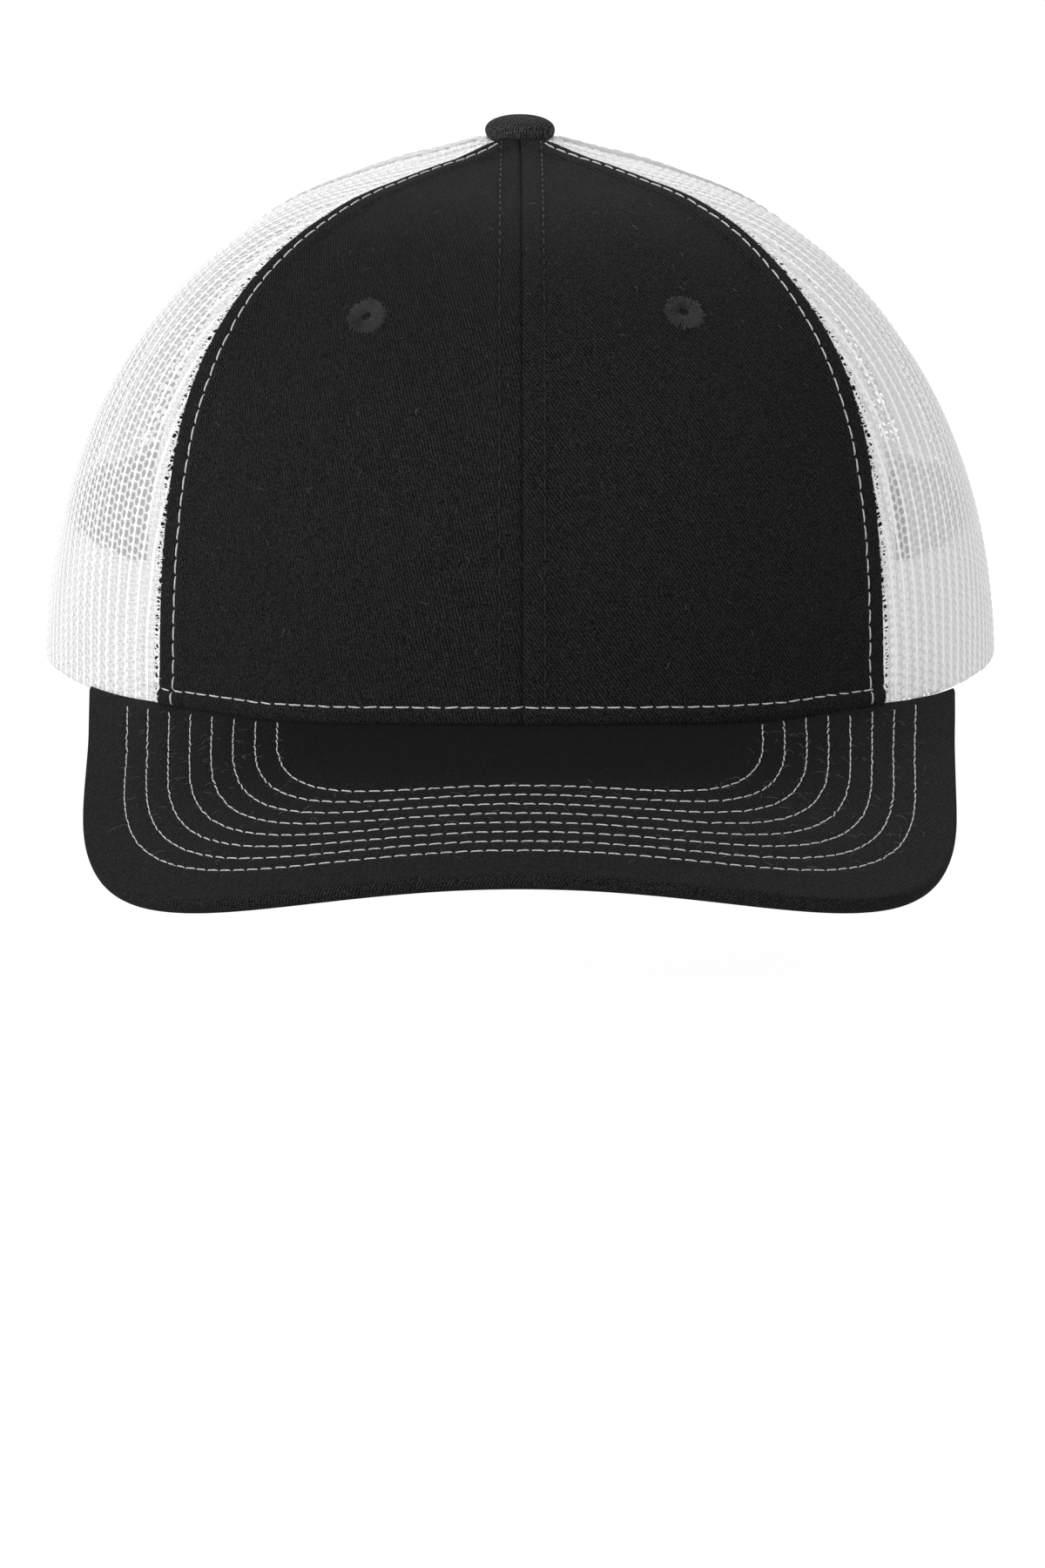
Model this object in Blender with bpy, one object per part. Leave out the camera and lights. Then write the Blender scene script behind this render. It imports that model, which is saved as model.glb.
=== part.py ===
"""Six-panel trucker cap: two structured twill front panels, four mesh side and back
panels, a curved stitched visor, a covered top button, a sweatband and a plastic snap
closure. Dimensions are in millimetres and the objects in metres, +Z up. The parts are set
out with the rim of the crown in z = 0, the head opening centred and the front facing -Y.
The last step moves the whole cap so that the origin lies under the middle of its bounding
box. "Left" is -X and "right" is +X, as seen by someone facing the cap.

A place on the crown is given by its angle round from the front, positive towards +X, and
its rise, which runs from 0 at the rim to pi/2 at the top. Depths are measured inwards from
the outside of the crown, or downwards from the top of the visor.
"""

from math import acos, asin, cos, degrees, dist, hypot, pi, radians, sin, sqrt

import bpy
import bmesh
from mathutils import Matrix, Vector

MM = 0.001
SIDES = (("left", -1), ("right", 1))

# ---------------------------------------------------------------- driving dimensions, mm
RIM_HALF_WIDTH = 94.0  # head opening, outside, side to side
RIM_FRONT = 100.0  # centre to front of the rim
RIM_BACK = 98.0  # centre to back of the rim
CROWN_HEIGHT = 101.7
# angle from the front in degrees, exponent of the crown's profile there
FULLNESS = ((0.0, 3.3), (47.3, 3.5), (90.0, 2.0), (180.0, 2.1))
FRONT_SEAM = 47.3  # degrees from the front to the front/side seam
SIDE_SEAM = 113.5  # degrees from the front to the side/back seam
SEAM_GAP = 0.3
TOP_HOLE = 2.4  # radius of the hole the button's rivet goes through

# layers of the crown: depths of their outer and inner faces
TWILL = (0.0, 0.7)
BUCKRAM = (1.1, 1.9)
MESH = (0.0, 1.2)
TAPE = (2.35, 2.85)
SWEATBAND = (3.7, 4.8)
LABEL = (SWEATBAND[1] + 0.6, SWEATBAND[1] + 1.0)

FRONT_COLUMNS, FRONT_ROWS = 6, 17
SIDE_COLUMNS, SIDE_ROWS = 8, 12
BACK_COLUMNS, BACK_ROWS = 4, 13  # columns between the side seam and the arch
BUCKRAM_LOW = 1.0  # height of its lower edge
BUCKRAM_TOP_RADIUS = 9.0
BUCKRAM_GAP = 0.8

TAPE_HALF = 6.5
TAPE_LOW = 3.0
TAPE_TOP_RADIUS = 11.0
TAPE_ROWS = 17
TAPE_TAPER = 0.42  # greatest half width as a share of the crown's radius
SWEATBAND_HEIGHT = 35.0
SWEATBAND_END = 11.0  # beyond the strap's hinge, along the rim
LABEL_ANGLES = (119, 129)  # degrees
LABEL_HEIGHTS = (6.0, 30.0)

EYELET_ANGLE = 24.1  # degrees
EYELET_HEIGHT = 76.5
EYELET_HOLE = 1.5
EYELET_OUTER = 4.1
EYELET_BARREL = EYELET_HOLE + 0.8
EYELET_BORE = EYELET_HOLE + 1.2  # radius pierced through the cloth
EYELET_STEPS = 20

ARCH_HALF = 44.0
ARCH_HEIGHT = 54.0
ARCH_STEPS = 8
BINDING_WIDTH = 7.0

THREAD_RADIUS = 0.22
THREAD_LIFT = 0.3  # how far a thread stands off its surface
SEAM_THREAD_OFFSET = 3.8  # forward of the front/side seam
SEAM_THREAD_LOW = 4.0
SEAM_THREAD_TOP_RADIUS = 12.0
HEM_THREAD_LIFT = 3.4  # above the top of the visor
HEM_THREAD_MARGIN = 1.2  # degrees short of the seam

BUTTON_RADIUS = 6.8
BUTTON_BASE = CROWN_HEIGHT + 0.5
BUTTON_HEIGHT = 4.6

VISOR_LENGTH = 70.5  # from the front of the rim to the front edge
VISOR_HALF = 83.0
VISOR_DROOP = radians(13.5)
VISOR_BEND = 219.7  # radius of the sideways curve
VISOR_SEAT = 3.0  # height of the visor's top where it meets the front of the crown
VISOR_GAP = 0.8  # clearance to the crown, for the flex of the sewn seam
VISOR_SHOULDER = -10.0  # where the straight sides end, forward of the rim
VISOR_SQUARE = (4.3, 3.0)  # squareness of the outline, sideways and forwards
VISOR_WING = -43.5  # back ends of the straight sides, forward of the rim
VISOR_SEAT_MARGIN = 1.6  # how far the inner edge stops short of the outline, sideways
VISOR_COLUMNS = 28
VISOR_CLOTH = 0.6
VISOR_BOARD = (0.9, 2.4)  # depths of its top and underside
VISOR_BOARD_INSET = 1.2
VISOR_THICK = 3.3
LIP_START = 0.7  # where each cloth begins to turn over the edge, in from the edge
LIP_INNER = 0.65  # inside face of the turned lip, in from the edge
LIP_END = VISOR_THICK / 2 - 0.15

ROWS = 8
ROW_FRONT = (30.1, 59.3)  # first and last stitch row, forward of the rim
ROW_SIDE = (46.1, 74.8)  # the same rows, sideways
ROW_CLEAR = VISOR_GAP + 0.4  # clearance of the rows' ends to the crown
ROW_STEPS = 26

STRAP_LOW = 2.5
STRAP_HEIGHT = 18.0
STRAP_MIDDLE = STRAP_LOW + STRAP_HEIGHT / 2
STRAP_THICK = 1.1
STRAP_INNER = 2.5  # depth of the peg strap's outside below the crown's outside
STRAP_OUTER = 1.0  # depth of the hole strap's outside where it laps the peg strap
STRAP_HINGE = 38.5  # bending line of each strap, measured along the rim from the back centre
STRAP_CLEAR = 0.2  # from the bending line to the strap and to its tab
STRAP_STEP = (2.5, 12.0)  # hole strap's step outwards: start from the bending line, length
STRAP_END = 16.6
STRAP_TIP = 0.45  # height of the rounded end's tip, as a share of the strap's
TAB_LENGTH = 21.0
TAB_THICK = 0.85
TAB_STEPS = 6
HINGE_OFFSET = 0.15  # from the strap's face to its origin
SNAP_PITCH = 7.6
SNAPS = 7
SNAP_LAST = 11.4
PEG_RADIUS = 1.8
PEG_HEIGHT = 2.1
PEG_NECK = PEG_RADIUS - 0.3
HOLE_RADIUS = 2.6

# ---------------------------------------------------------------- materials and objects
# name: colour, roughness, metallic
FINISHES = {
    "black_twill": ((0.012, 0.012, 0.013), 0.9, 0.0),
    "white_mesh": ((0.82, 0.83, 0.84), 0.8, 0.0),
    "buckram_white": ((0.70, 0.70, 0.68), 0.9, 0.0),
    "white_cotton": ((0.78, 0.78, 0.77), 0.9, 0.0),
    "white_thread": ((0.75, 0.75, 0.74), 0.7, 0.0),
    "black_thread": ((0.02, 0.02, 0.02), 0.8, 0.0),
    "visor_plastic": ((0.55, 0.55, 0.53), 0.5, 0.0),
    "snap_plastic": ((0.80, 0.80, 0.79), 0.35, 0.0),
    "plated_steel": ((0.60, 0.60, 0.60), 0.3, 1.0),
}


def clear_scene():
    for old in list(bpy.data.objects):
        bpy.data.objects.remove(old, do_unlink=True)
    units = bpy.context.scene.unit_settings
    units.system = "METRIC"
    units.scale_length = 1.0


def material(name, finish):
    colour, roughness, metallic = FINISHES[finish]
    made = bpy.data.materials.new(name)
    made.use_nodes = True
    shader = made.node_tree.nodes["Principled BSDF"]
    shader.inputs["Base Color"].default_value = (*colour, 1.0)
    shader.inputs["Roughness"].default_value = roughness
    shader.inputs["Metallic"].default_value = metallic
    made.diffuse_color = (*colour, 1.0)
    return made


def add_object(name, body, finish, smooth=False, origin=(0, 0, 0)):
    """One closed body, with its faces turned outwards, as a named object."""
    bmesh.ops.recalc_face_normals(body, faces=body.faces)
    if body.calc_volume(signed=True) < 0:
        bmesh.ops.reverse_faces(body, faces=body.faces)
    location = Vector(origin) * MM
    for vert in body.verts:
        vert.co = vert.co * MM - location
    mesh = bpy.data.meshes.new(name)
    body.to_mesh(mesh)
    body.free()
    mesh.materials.append(material(f"{finish}.{name}", finish))
    for face in mesh.polygons:
        face.use_smooth = smooth
    obj = bpy.data.objects.new(name, mesh)
    obj.location = location
    bpy.context.scene.collection.objects.link(obj)
    return obj


def combine(obj, helper, name, operation):
    """Boolean modifier on an object, with its helper hidden from renders."""
    helper.hide_render = True
    helper.display_type = "WIRE"
    boolean = obj.modifiers.new(name, "BOOLEAN")
    boolean.operation = operation
    boolean.solver = "EXACT"
    boolean.object = helper


def bore(obj, name, radius, reach, steps, frame):
    """Round hole along the frame's z, cut by a plug that reaches equally both ways."""
    plug = [(0, -reach), (radius, -reach), (radius, reach), (0, reach)]
    cutter = add_object(name, turned(plug, steps, frame), "black_thread")
    combine(obj, cutter, "Cut", "DIFFERENCE")


# ---------------------------------------------------------------- closed shapes
def sheet(outer, inner):
    """Closed body between two equal grids of points."""
    body = bmesh.new()
    columns, rows = len(outer), len(outer[0])
    top = [[body.verts.new(point) for point in column] for column in outer]
    low = [[body.verts.new(point) for point in column] for column in inner]
    for i in range(columns - 1):
        for j in range(rows - 1):
            body.faces.new((top[i][j], top[i + 1][j], top[i + 1][j + 1], top[i][j + 1]))
            body.faces.new((low[i][j], low[i][j + 1], low[i + 1][j + 1], low[i + 1][j]))
    for i in range(columns - 1):
        for j in (0, rows - 1):
            body.faces.new((top[i][j], low[i][j], low[i + 1][j], top[i + 1][j]))
    for j in range(rows - 1):
        for i in (0, columns - 1):
            body.faces.new((top[i][j], top[i][j + 1], low[i][j + 1], low[i][j]))
    return body


def sweep(sections):
    """Closed body through a run of equal rings of points."""
    body = bmesh.new()
    rings = [[body.verts.new(point) for point in ring] for ring in sections]
    count = len(rings[0])
    for ring, following in zip(rings, rings[1:]):
        for k in range(count):
            n = (k + 1) % count
            body.faces.new((ring[k], ring[n], following[n], following[k]))
    body.faces.new(rings[0])
    body.faces.new(list(reversed(rings[-1])))
    return body


def turned(profile, steps, frame):
    """Body of revolution: (radius, height) points turned about the frame's z axis.

    A profile that starts off the axis is closed into a ring.
    """
    body = bmesh.new()
    rings = []
    for radius, height in profile:
        turns = [2 * pi * k / steps for k in range(steps)] if radius > 1e-6 else [0.0]
        rings.append(
            [body.verts.new((radius * cos(turn), radius * sin(turn), height)) for turn in turns]
        )
    pairs = list(zip(rings, rings[1:]))
    if profile[0][0] > 1e-6:
        pairs.append((rings[-1], rings[0]))
    for ring, following in pairs:
        for k in range(steps):
            n = (k + 1) % steps
            if len(ring) == 1:
                body.faces.new((ring[0], following[n], following[k]))
            elif len(following) == 1:
                body.faces.new((ring[k], ring[n], following[0]))
            else:
                body.faces.new((ring[k], ring[n], following[n], following[k]))
    body.transform(frame)
    return body


def cord(points, normals):
    """Thin thread of triangular section that stands just off a surface."""
    rings = []
    last = len(points) - 1
    for k, (point, normal) in enumerate(zip(points, normals)):
        ahead = points[min(k + 1, last)] - points[max(k - 1, 0)]
        across = ahead.cross(normal).normalized() * THREAD_RADIUS
        rings.append([point + across, point + normal * 1.6 * THREAD_RADIUS, point - across])
    return sweep(rings)


def facing(point, direction):
    """Frame at a point with its z axis along a direction."""
    frame = direction.to_track_quat("Z", "Y").to_matrix().to_4x4()
    frame.translation = point
    return frame


# ---------------------------------------------------------------- spacing
def ease(x):
    x = min(1.0, max(0.0, x))
    return x * x * (3.0 - 2.0 * x)


def spaced(start, end, count):
    """Angles in radians that divide a span given in degrees."""
    return [radians(start + (end - start) * k / count) for k in range(count + 1)]


def even_places(points, count):
    """(segment, share along it) of the ends of count equal lengths of a line."""
    run = [0.0]
    for start, end in zip(points, points[1:]):
        run.append(run[-1] + dist(start, end))
    places, k = [], 0
    for i in range(count + 1):
        want = run[-1] * i / count
        while k < len(run) - 2 and run[k + 1] < want:
            k += 1
        places.append((k, (want - run[k]) / max(run[k + 1] - run[k], 1e-12)))
    return places


def blend(start, end, share):
    return start + (end - start) * share


# ---------------------------------------------------------------- the crown's surface
def fullness(angle):
    """Exponent of the meridian at an angle: 2 is an ellipse, more is squarer."""
    away = degrees(abs((angle + pi) % (2 * pi) - pi))
    for (start, value), (end, next_value) in zip(FULLNESS, FULLNESS[1:]):
        if away <= end:
            return blend(value, next_value, ease((away - start) / (end - start)))
    return FULLNESS[-1][1]


def rim_depth(angle):
    return RIM_FRONT if cos(angle) > 0 else RIM_BACK


def rim(angle):
    return RIM_HALF_WIDTH * sin(angle), -rim_depth(angle) * cos(angle)


def crown(angle, rise, depth=0.0):
    """Point on the crown, or at a depth below its outside."""
    power = fullness(angle)
    x, y = rim(angle)
    z = CROWN_HEIGHT * max(sin(rise), 0.0) ** (2.0 / power)
    point = Vector((x * cos(rise), y * cos(rise), z))
    slope = power * max(z / CROWN_HEIGHT, 1e-9) ** (power - 1.0) / CROWN_HEIGHT
    normal = Vector(
        (2 * point.x / RIM_HALF_WIDTH**2, 2 * point.y / rim_depth(angle) ** 2, slope)
    ).normalized()
    return point - normal * depth


def outward(angle, rise):
    return (crown(angle, rise) - crown(angle, rise, 1.0)).normalized()


def radius_at(angle, rise):
    return hypot(*rim(angle)) * cos(rise)


def rise_at_height(angle, z):
    return asin(min(1.0, max(0.0, z / CROWN_HEIGHT)) ** (fullness(angle) / 2.0))


def rise_at_radius(angle, radius):
    return acos(min(1.0, radius / hypot(*rim(angle))))


def meridian(angle, low, high, count):
    """Rises from low to high that divide the meridian into equal lengths."""
    fine = 160
    rises = [low + (high - low) * (k / fine) ** 1.6 for k in range(fine + 1)]
    places = even_places([crown(angle, rise) for rise in rises], count)
    return [blend(rises[k], rises[k + 1], share) for k, share in places]


def height_to_radius(angle, height, radius, count):
    """Even rises from a height up to a radius round the top."""
    return meridian(angle, rise_at_height(angle, height), rise_at_radius(angle, radius), count)


def height_to_height(angle, low, high, count):
    return meridian(angle, rise_at_height(angle, low), rise_at_height(angle, high), count)


def rim_angle(along):
    """Angle of a point on the rim, in mm round from the back centre, positive towards +X."""
    angle, run, step = pi, 0.0, radians(0.25)
    while run < abs(along):
        here, following = rim(angle), rim(angle - step)
        run += hypot(here[0] - following[0], here[1] - following[1])
        angle -= step
    return angle if along >= 0 else -angle


def crown_layer(stations, depths):
    """Closed body over a grid of (angle, rise), between two depths."""
    return sheet(
        *[[[crown(*place, depth) for place in column] for column in stations] for depth in depths]
    )


# ---------------------------------------------------------------- crown panels
def rim_line(angle):
    return 0.0


def arch_line(angle):
    """Height of the rear opening's edge at an angle."""
    x = abs(rim(angle)[0]) / ARCH_HALF
    return ARCH_HEIGHT * sqrt(max(0.0, 1.0 - x * x)) if cos(angle) < 0 and x < 1 else 0.0


def panel(angles, rows, depths, bottom=rim_line, top_radius=TOP_HOLE, gap=SEAM_GAP / 2):
    """Panel with columns at the given angles, its edges drawn in by the gap."""
    first, last = angles[0], angles[-1]
    way = 1 if last > first else -1
    stations = []
    for angle in angles:
        inset = gap * way * (1.0 - 2.0 * (angle - first) / (last - first))
        stations.append(
            [
                (angle + inset / max(radius_at(angle, rise), 1.0), rise)
                for rise in height_to_radius(angle, bottom(angle), top_radius, rows)
            ]
        )
    return crown_layer(stations, depths)


def front_panel(side, sign):
    """Twill, the buckram that stiffens it and the eyelet that pierces both."""
    angles = spaced(0, FRONT_SEAM * sign, FRONT_COLUMNS)
    twill = add_object(
        f"front_panel_{side}", panel(angles, FRONT_ROWS, TWILL), "black_twill", True
    )
    stiffener = panel(
        angles,
        FRONT_ROWS,
        BUCKRAM,
        bottom=lambda angle: BUCKRAM_LOW,
        top_radius=BUCKRAM_TOP_RADIUS,
        gap=BUCKRAM_GAP,
    )
    buckram = add_object(f"buckram_{side}", stiffener, "buckram_white", True)

    angle = radians(EYELET_ANGLE) * sign
    rise = rise_at_height(angle, EYELET_HEIGHT)
    frame = facing(crown(angle, rise), outward(angle, rise))
    for layer in (twill, buckram):
        bore(layer, f"cutter_{layer.name}", EYELET_BORE, 5, EYELET_STEPS, frame)
    profile = [
        (EYELET_HOLE, -2.2),
        (EYELET_BARREL, -2.2),
        (EYELET_BARREL, 0.35),
        (EYELET_OUTER, 0.35),
        (EYELET_OUTER - 0.3, 0.8),
        ((EYELET_HOLE + EYELET_OUTER) / 2, 1.1),
        (EYELET_HOLE + 0.3, 0.9),
        (EYELET_HOLE, 0.5),
    ]
    add_object(f"eyelet_{side}", turned(profile, EYELET_STEPS, frame), "black_thread", True)


def mesh_panels(side, sign):
    angles = spaced(FRONT_SEAM * sign, SIDE_SEAM * sign, SIDE_COLUMNS)
    add_object(
        f"mesh_side_panel_{side}", panel(angles, SIDE_ROWS, MESH), "white_mesh", True
    )
    arch_edge = 180 - degrees(asin(ARCH_HALF / RIM_HALF_WIDTH))
    angles = spaced(SIDE_SEAM * sign, arch_edge * sign, BACK_COLUMNS)[:-1]
    for k in range(ARCH_STEPS + 1):
        x = ARCH_HALF * cos(pi / 2 * k / ARCH_STEPS)
        angles.append((pi - asin(x / RIM_HALF_WIDTH)) * sign)
    add_object(
        f"mesh_back_panel_{side}",
        panel(angles, BACK_ROWS, MESH, bottom=arch_line),
        "white_mesh",
        True,
    )


# ---------------------------------------------------------------- inside of the crown
# place, angle in degrees, height of the lower end
SEAM_TAPES = (
    ("front_centre", 0, TAPE_LOW),
    ("front_left", -FRONT_SEAM, TAPE_LOW),
    ("front_right", FRONT_SEAM, TAPE_LOW),
    ("side_left", -SIDE_SEAM, TAPE_LOW),
    ("side_right", SIDE_SEAM, TAPE_LOW),
    ("back_centre", 180, ARCH_HEIGHT + BINDING_WIDTH + 1.5),
)


def seam_tape(place, seam, low):
    """Strip of cotton that covers a seam from inside, narrowing towards the top."""
    angle = radians(seam)
    stations = [[], [], []]
    for rise in height_to_radius(angle, low, TAPE_TOP_RADIUS, TAPE_ROWS):
        radius = radius_at(angle, rise)
        spread = min(TAPE_HALF, TAPE_TAPER * radius) / radius
        for column, across in zip(stations, (-1, 0, 1)):
            column.append((angle + across * spread, rise))
    add_object(f"seam_tape_{place}", crown_layer(stations, TAPE), "white_cotton")


def sweatband():
    end = degrees(rim_angle(STRAP_HINGE + SWEATBAND_END))
    stations = [
        [(angle, rise) for rise in height_to_height(angle, 0.0, SWEATBAND_HEIGHT, 3)]
        for angle in spaced(-end, end, 40)
    ]
    add_object("sweatband", crown_layer(stations, SWEATBAND), "white_cotton", True)


def care_label():
    """Plain label inside the sweatband, behind the right side seam."""
    stations = [
        [(angle, rise) for rise in height_to_height(angle, *LABEL_HEIGHTS, 2)]
        for angle in spaced(*LABEL_ANGLES, 4)
    ]
    add_object("care_label_blank", crown_layer(stations, LABEL), "white_cotton")


# ---------------------------------------------------------------- binding round the rear arch
# outside leg, fold under the mesh edge, inside leg: (reach beyond the arch, depth)
BINDING_SECTION = (
    (BINDING_WIDTH, -0.9),
    (BINDING_WIDTH, -0.4),
    (-0.4, -0.4),
    (-0.4, MESH[1] + 0.4),
    (BINDING_WIDTH, MESH[1] + 0.4),
    (BINDING_WIDTH, MESH[1] + 0.8),
    (-1.0, MESH[1] + 0.8),
    (-1.0, -0.9),
)


def arch_binding():
    sections, steps = [], 2 * ARCH_STEPS
    for k in range(steps + 1):
        turn = pi * k / steps
        ring = []
        for reach, depth in BINDING_SECTION:
            angle = pi - asin((ARCH_HALF + reach) * cos(turn) / RIM_HALF_WIDTH)
            height = max((ARCH_HEIGHT + reach) * sin(turn), 0.0)
            ring.append(crown(angle, rise_at_height(angle, height), depth))
        sections.append(ring)
    add_object("back_arch_binding", sweep(sections), "white_cotton", True)


# ---------------------------------------------------------------- snap closure
# Places along the straps are in mm round the rim from the back centre, positive towards +X.
def strap_depth(kind, along):
    """Depth of a strap's outside: the hole strap steps outwards to lap the peg strap."""
    if kind == "peg":
        return STRAP_INNER
    start, length = STRAP_STEP
    return blend(STRAP_INNER, STRAP_OUTER, ease((STRAP_HINGE - start - abs(along)) / length))


def strap_point(along, z, depth):
    angle = rim_angle(along)
    return crown(angle, rise_at_height(angle, z), depth)


def strap_section(along, half, depth, thick):
    """Ring up the outside face and down the inside one."""
    places = [(level, depth) for level in (-1, 0, 1)]
    places += [(level, depth + thick) for level in (1, 0, -1)]
    return [strap_point(along, STRAP_MIDDLE + level * half, at) for level, at in places]


def strap(kind, sign, steps):
    """Curved plastic strip along the back of the rim, hinged on one side, with a round end."""
    start = (STRAP_HINGE - STRAP_CLEAR) * sign
    end = -STRAP_END * sign
    sections = []
    for k in range(steps + 1):
        along = start + (end - start) * k / steps
        half = STRAP_HEIGHT / 2
        near = abs(end - along)
        if near < half:
            bulge = sqrt(max(0.0, 1 - (1 - near / half) ** 2))
            half *= STRAP_TIP + (1 - STRAP_TIP) * bulge
        sections.append(strap_section(along, half, strap_depth(kind, along), STRAP_THICK))
    inset = STRAP_THICK + HINGE_OFFSET if kind == "peg" else -HINGE_OFFSET
    hinge = strap_point(STRAP_HINGE * sign, STRAP_MIDDLE, STRAP_INNER + inset)
    origin = (hinge.x, hinge.y, STRAP_MIDDLE)
    return add_object(f"{kind}_strap", sweep(sections), "snap_plastic", True, origin)


def snap_frame(along, depth):
    """Frame at a snap with its z axis pointing out of the crown."""
    middle = STRAP_MIDDLE
    tangent = strap_point(along + 0.5, middle, depth) - strap_point(along - 0.5, middle, depth)
    up = strap_point(along, middle + 2, depth) - strap_point(along, middle - 2, depth)
    return facing(strap_point(along, middle, depth), up.cross(tangent))


def hole_strap():
    """Strap sewn at -X that laps outside; its holes are cut through it."""
    body = strap("hole", -1, 20)
    for k in range(SNAPS):
        along = SNAP_LAST - SNAP_PITCH * k
        frame = snap_frame(along, strap_depth("hole", along) + STRAP_THICK / 2)
        bore(body, f"cutter_hole_{k + 1}", HOLE_RADIUS, 3, 14, frame)


def peg_strap():
    """Strap sewn at +X that laps inside; its pegs are joined to it."""
    body = strap("peg", 1, 18)
    profile = [
        (0, -0.6),
        (PEG_NECK, -0.6),
        (PEG_NECK, 1.2),
        (PEG_RADIUS, 1.6),
        (PEG_RADIUS - 0.5, PEG_HEIGHT),
        (0, PEG_HEIGHT),
    ]
    for k in range(SNAPS):
        frame = snap_frame(SNAP_PITCH * k - SNAP_LAST, STRAP_INNER)
        peg = add_object(f"joined_peg_{k + 1}", turned(profile, 10, frame), "snap_plastic")
        combine(body, peg, "Peg", "UNION")


def sewn_tab(kind, sign):
    """Thin continuation of a strap beyond its bending line."""
    sections = []
    for k in range(TAB_STEPS + 1):
        along = (STRAP_HINGE + STRAP_CLEAR + TAB_LENGTH * k / TAB_STEPS) * sign
        sections.append(strap_section(along, STRAP_HEIGHT / 2, STRAP_INNER, TAB_THICK))
    add_object(f"{kind}_strap_sewn_tab", sweep(sections), "snap_plastic", True)


# ---------------------------------------------------------------- top button
def dome(radius, low, high, steps):
    """Profile from the foot of a dome up to its top on the axis."""
    turns = [pi / 2 * k / steps for k in range(steps)]
    curve = [(radius * cos(turn), low + (high - low) * sin(turn)) for turn in turns]
    return curve + [(0.0, high)]


def button():
    """Cloth cover over a steel shell, with a rivet down through the crown to a washer."""
    rise, wide = BUTTON_HEIGHT, BUTTON_RADIUS
    cover = (
        list(reversed(dome(wide - 0.7, 1.3, rise - 0.6, 5)))
        + [(wide - 1.5, 0.2), (wide - 0.9, 0.0)]
        + dome(wide, 1.4, rise, 6)
    )
    shell = [(0.0, 1.5), (wide - 2.2, 1.5)] + dome(wide - 1.1, 1.7, rise - 1.0, 4)
    rivet = [
        (0.0, -6.0), (2.4, -6.0), (2.4, -5.4), (1.2, -5.0),
        (1.2, 0.8), (2.6, 1.0), (2.6, 1.2), (0.0, 1.2),
    ]
    washer = [(1.5, -4.7), (7.0, -4.7), (7.0, -4.2), (1.5, -4.2)]
    frame = Matrix.Translation((0, 0, BUTTON_BASE))
    for part, profile, steps, finish in (
        ("cover", cover, 18, "black_twill"),
        ("shell", shell, 16, "plated_steel"),
        ("rivet", rivet, 10, "plated_steel"),
        ("washer", washer, 16, "plated_steel"),
    ):
        add_object(f"button_{part}", turned(profile, steps, frame), finish, True)


# ---------------------------------------------------------------- visor
FORWARD = Vector((0, -cos(VISOR_DROOP), -sin(VISOR_DROOP)))
UPWARD = Vector((0, -sin(VISOR_DROOP), cos(VISOR_DROOP)))
SIDEWAYS = Vector((1, 0, 0))
SEAT = Vector((0, -RIM_FRONT, VISOR_SEAT))


def visor_up(x):
    turn = asin(x / VISOR_BEND)
    return sin(turn) * SIDEWAYS + cos(turn) * UPWARD


def visor(x, ahead, depth=0.0):
    """Point on the bent visor: x sideways, so far ahead of the rim's front, below its top."""
    axis = SEAT - VISOR_BEND * UPWARD
    return axis + (VISOR_BEND - depth) * visor_up(x) + ahead * FORWARD


def along_rim(x, clear):
    """How far forward the visor's surface meets the crown's rim at a sideways position."""
    wide, deep = RIM_HALF_WIDTH + clear, RIM_FRONT + clear
    y = -deep * sqrt(max(0.0, 1.0 - (x / wide) ** 2))
    sag = VISOR_BEND * (1 - cos(asin(x / VISOR_BEND)))
    return (-RIM_FRONT + sag * sin(VISOR_DROOP) - y) / cos(VISOR_DROOP)


def even_line(line, count):
    """Evenly spaced (x, ahead) points along a line."""
    return [
        tuple(blend(start, end, share) for start, end in zip(line[k], line[k + 1]))
        for k, share in even_places(line, count)
    ]


def visor_outline(half, front, back, count):
    """Run of (x, ahead) round a visor-shaped curve, from one wing to the other."""
    power_side, power_front = VISOR_SQUARE
    wing = [(half, back + (VISOR_SHOULDER - back) * k / 40) for k in range(40)]
    line = [(-x, ahead) for x, ahead in wing]
    for k in range(401):
        turn = pi / 2 * (k / 200 - 1)
        x = half * abs(sin(turn)) ** (2 / power_side) * (1 if turn > 0 else -1)
        bulge = max(cos(turn), 0.0) ** (2 / power_front)
        line.append((x, VISOR_SHOULDER + (front - VISOR_SHOULDER) * bulge))
    return even_line(line + wing[::-1], count)


def visor_seat(clear, reach, count):
    """Run of (x, ahead) along the visor's inner edge."""
    xs = [reach * sin(pi / 2 * (k / 120 - 1)) for k in range(241)]
    return even_line([(x, along_rim(x, clear)) for x in xs], count)


def visor_layer(name, rows, inset, clear, faces, finish, lip_start=0.0):
    """One layer of the visor.

    Each of the two faces is its depth and its lip, the (distance in from the edge, depth)
    of the points that turn over the visor's edge.
    """
    outline = visor_outline(VISOR_HALF - inset, VISOR_LENGTH - inset, VISOR_WING, VISOR_COLUMNS)
    seat = visor_seat(clear, VISOR_HALF - VISOR_SEAT_MARGIN - inset, VISOR_COLUMNS)
    grids = ([], [])
    for inner, outer in zip(seat, outline):
        length = dist(inner, outer)
        for grid, (face_depth, lip) in zip(grids, faces):
            flat = 1.0 - lip_start / length
            places = [(j / rows * flat, face_depth) for j in range(rows + 1)]
            places += [(1.0 - back / length, depth) for back, depth in lip]
            grid.append(
                [
                    visor(blend(inner[0], outer[0], share), blend(inner[1], outer[1], share), depth)
                    for share, depth in places
                ]
            )
    add_object(name, sheet(*grids), finish, True)


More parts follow.
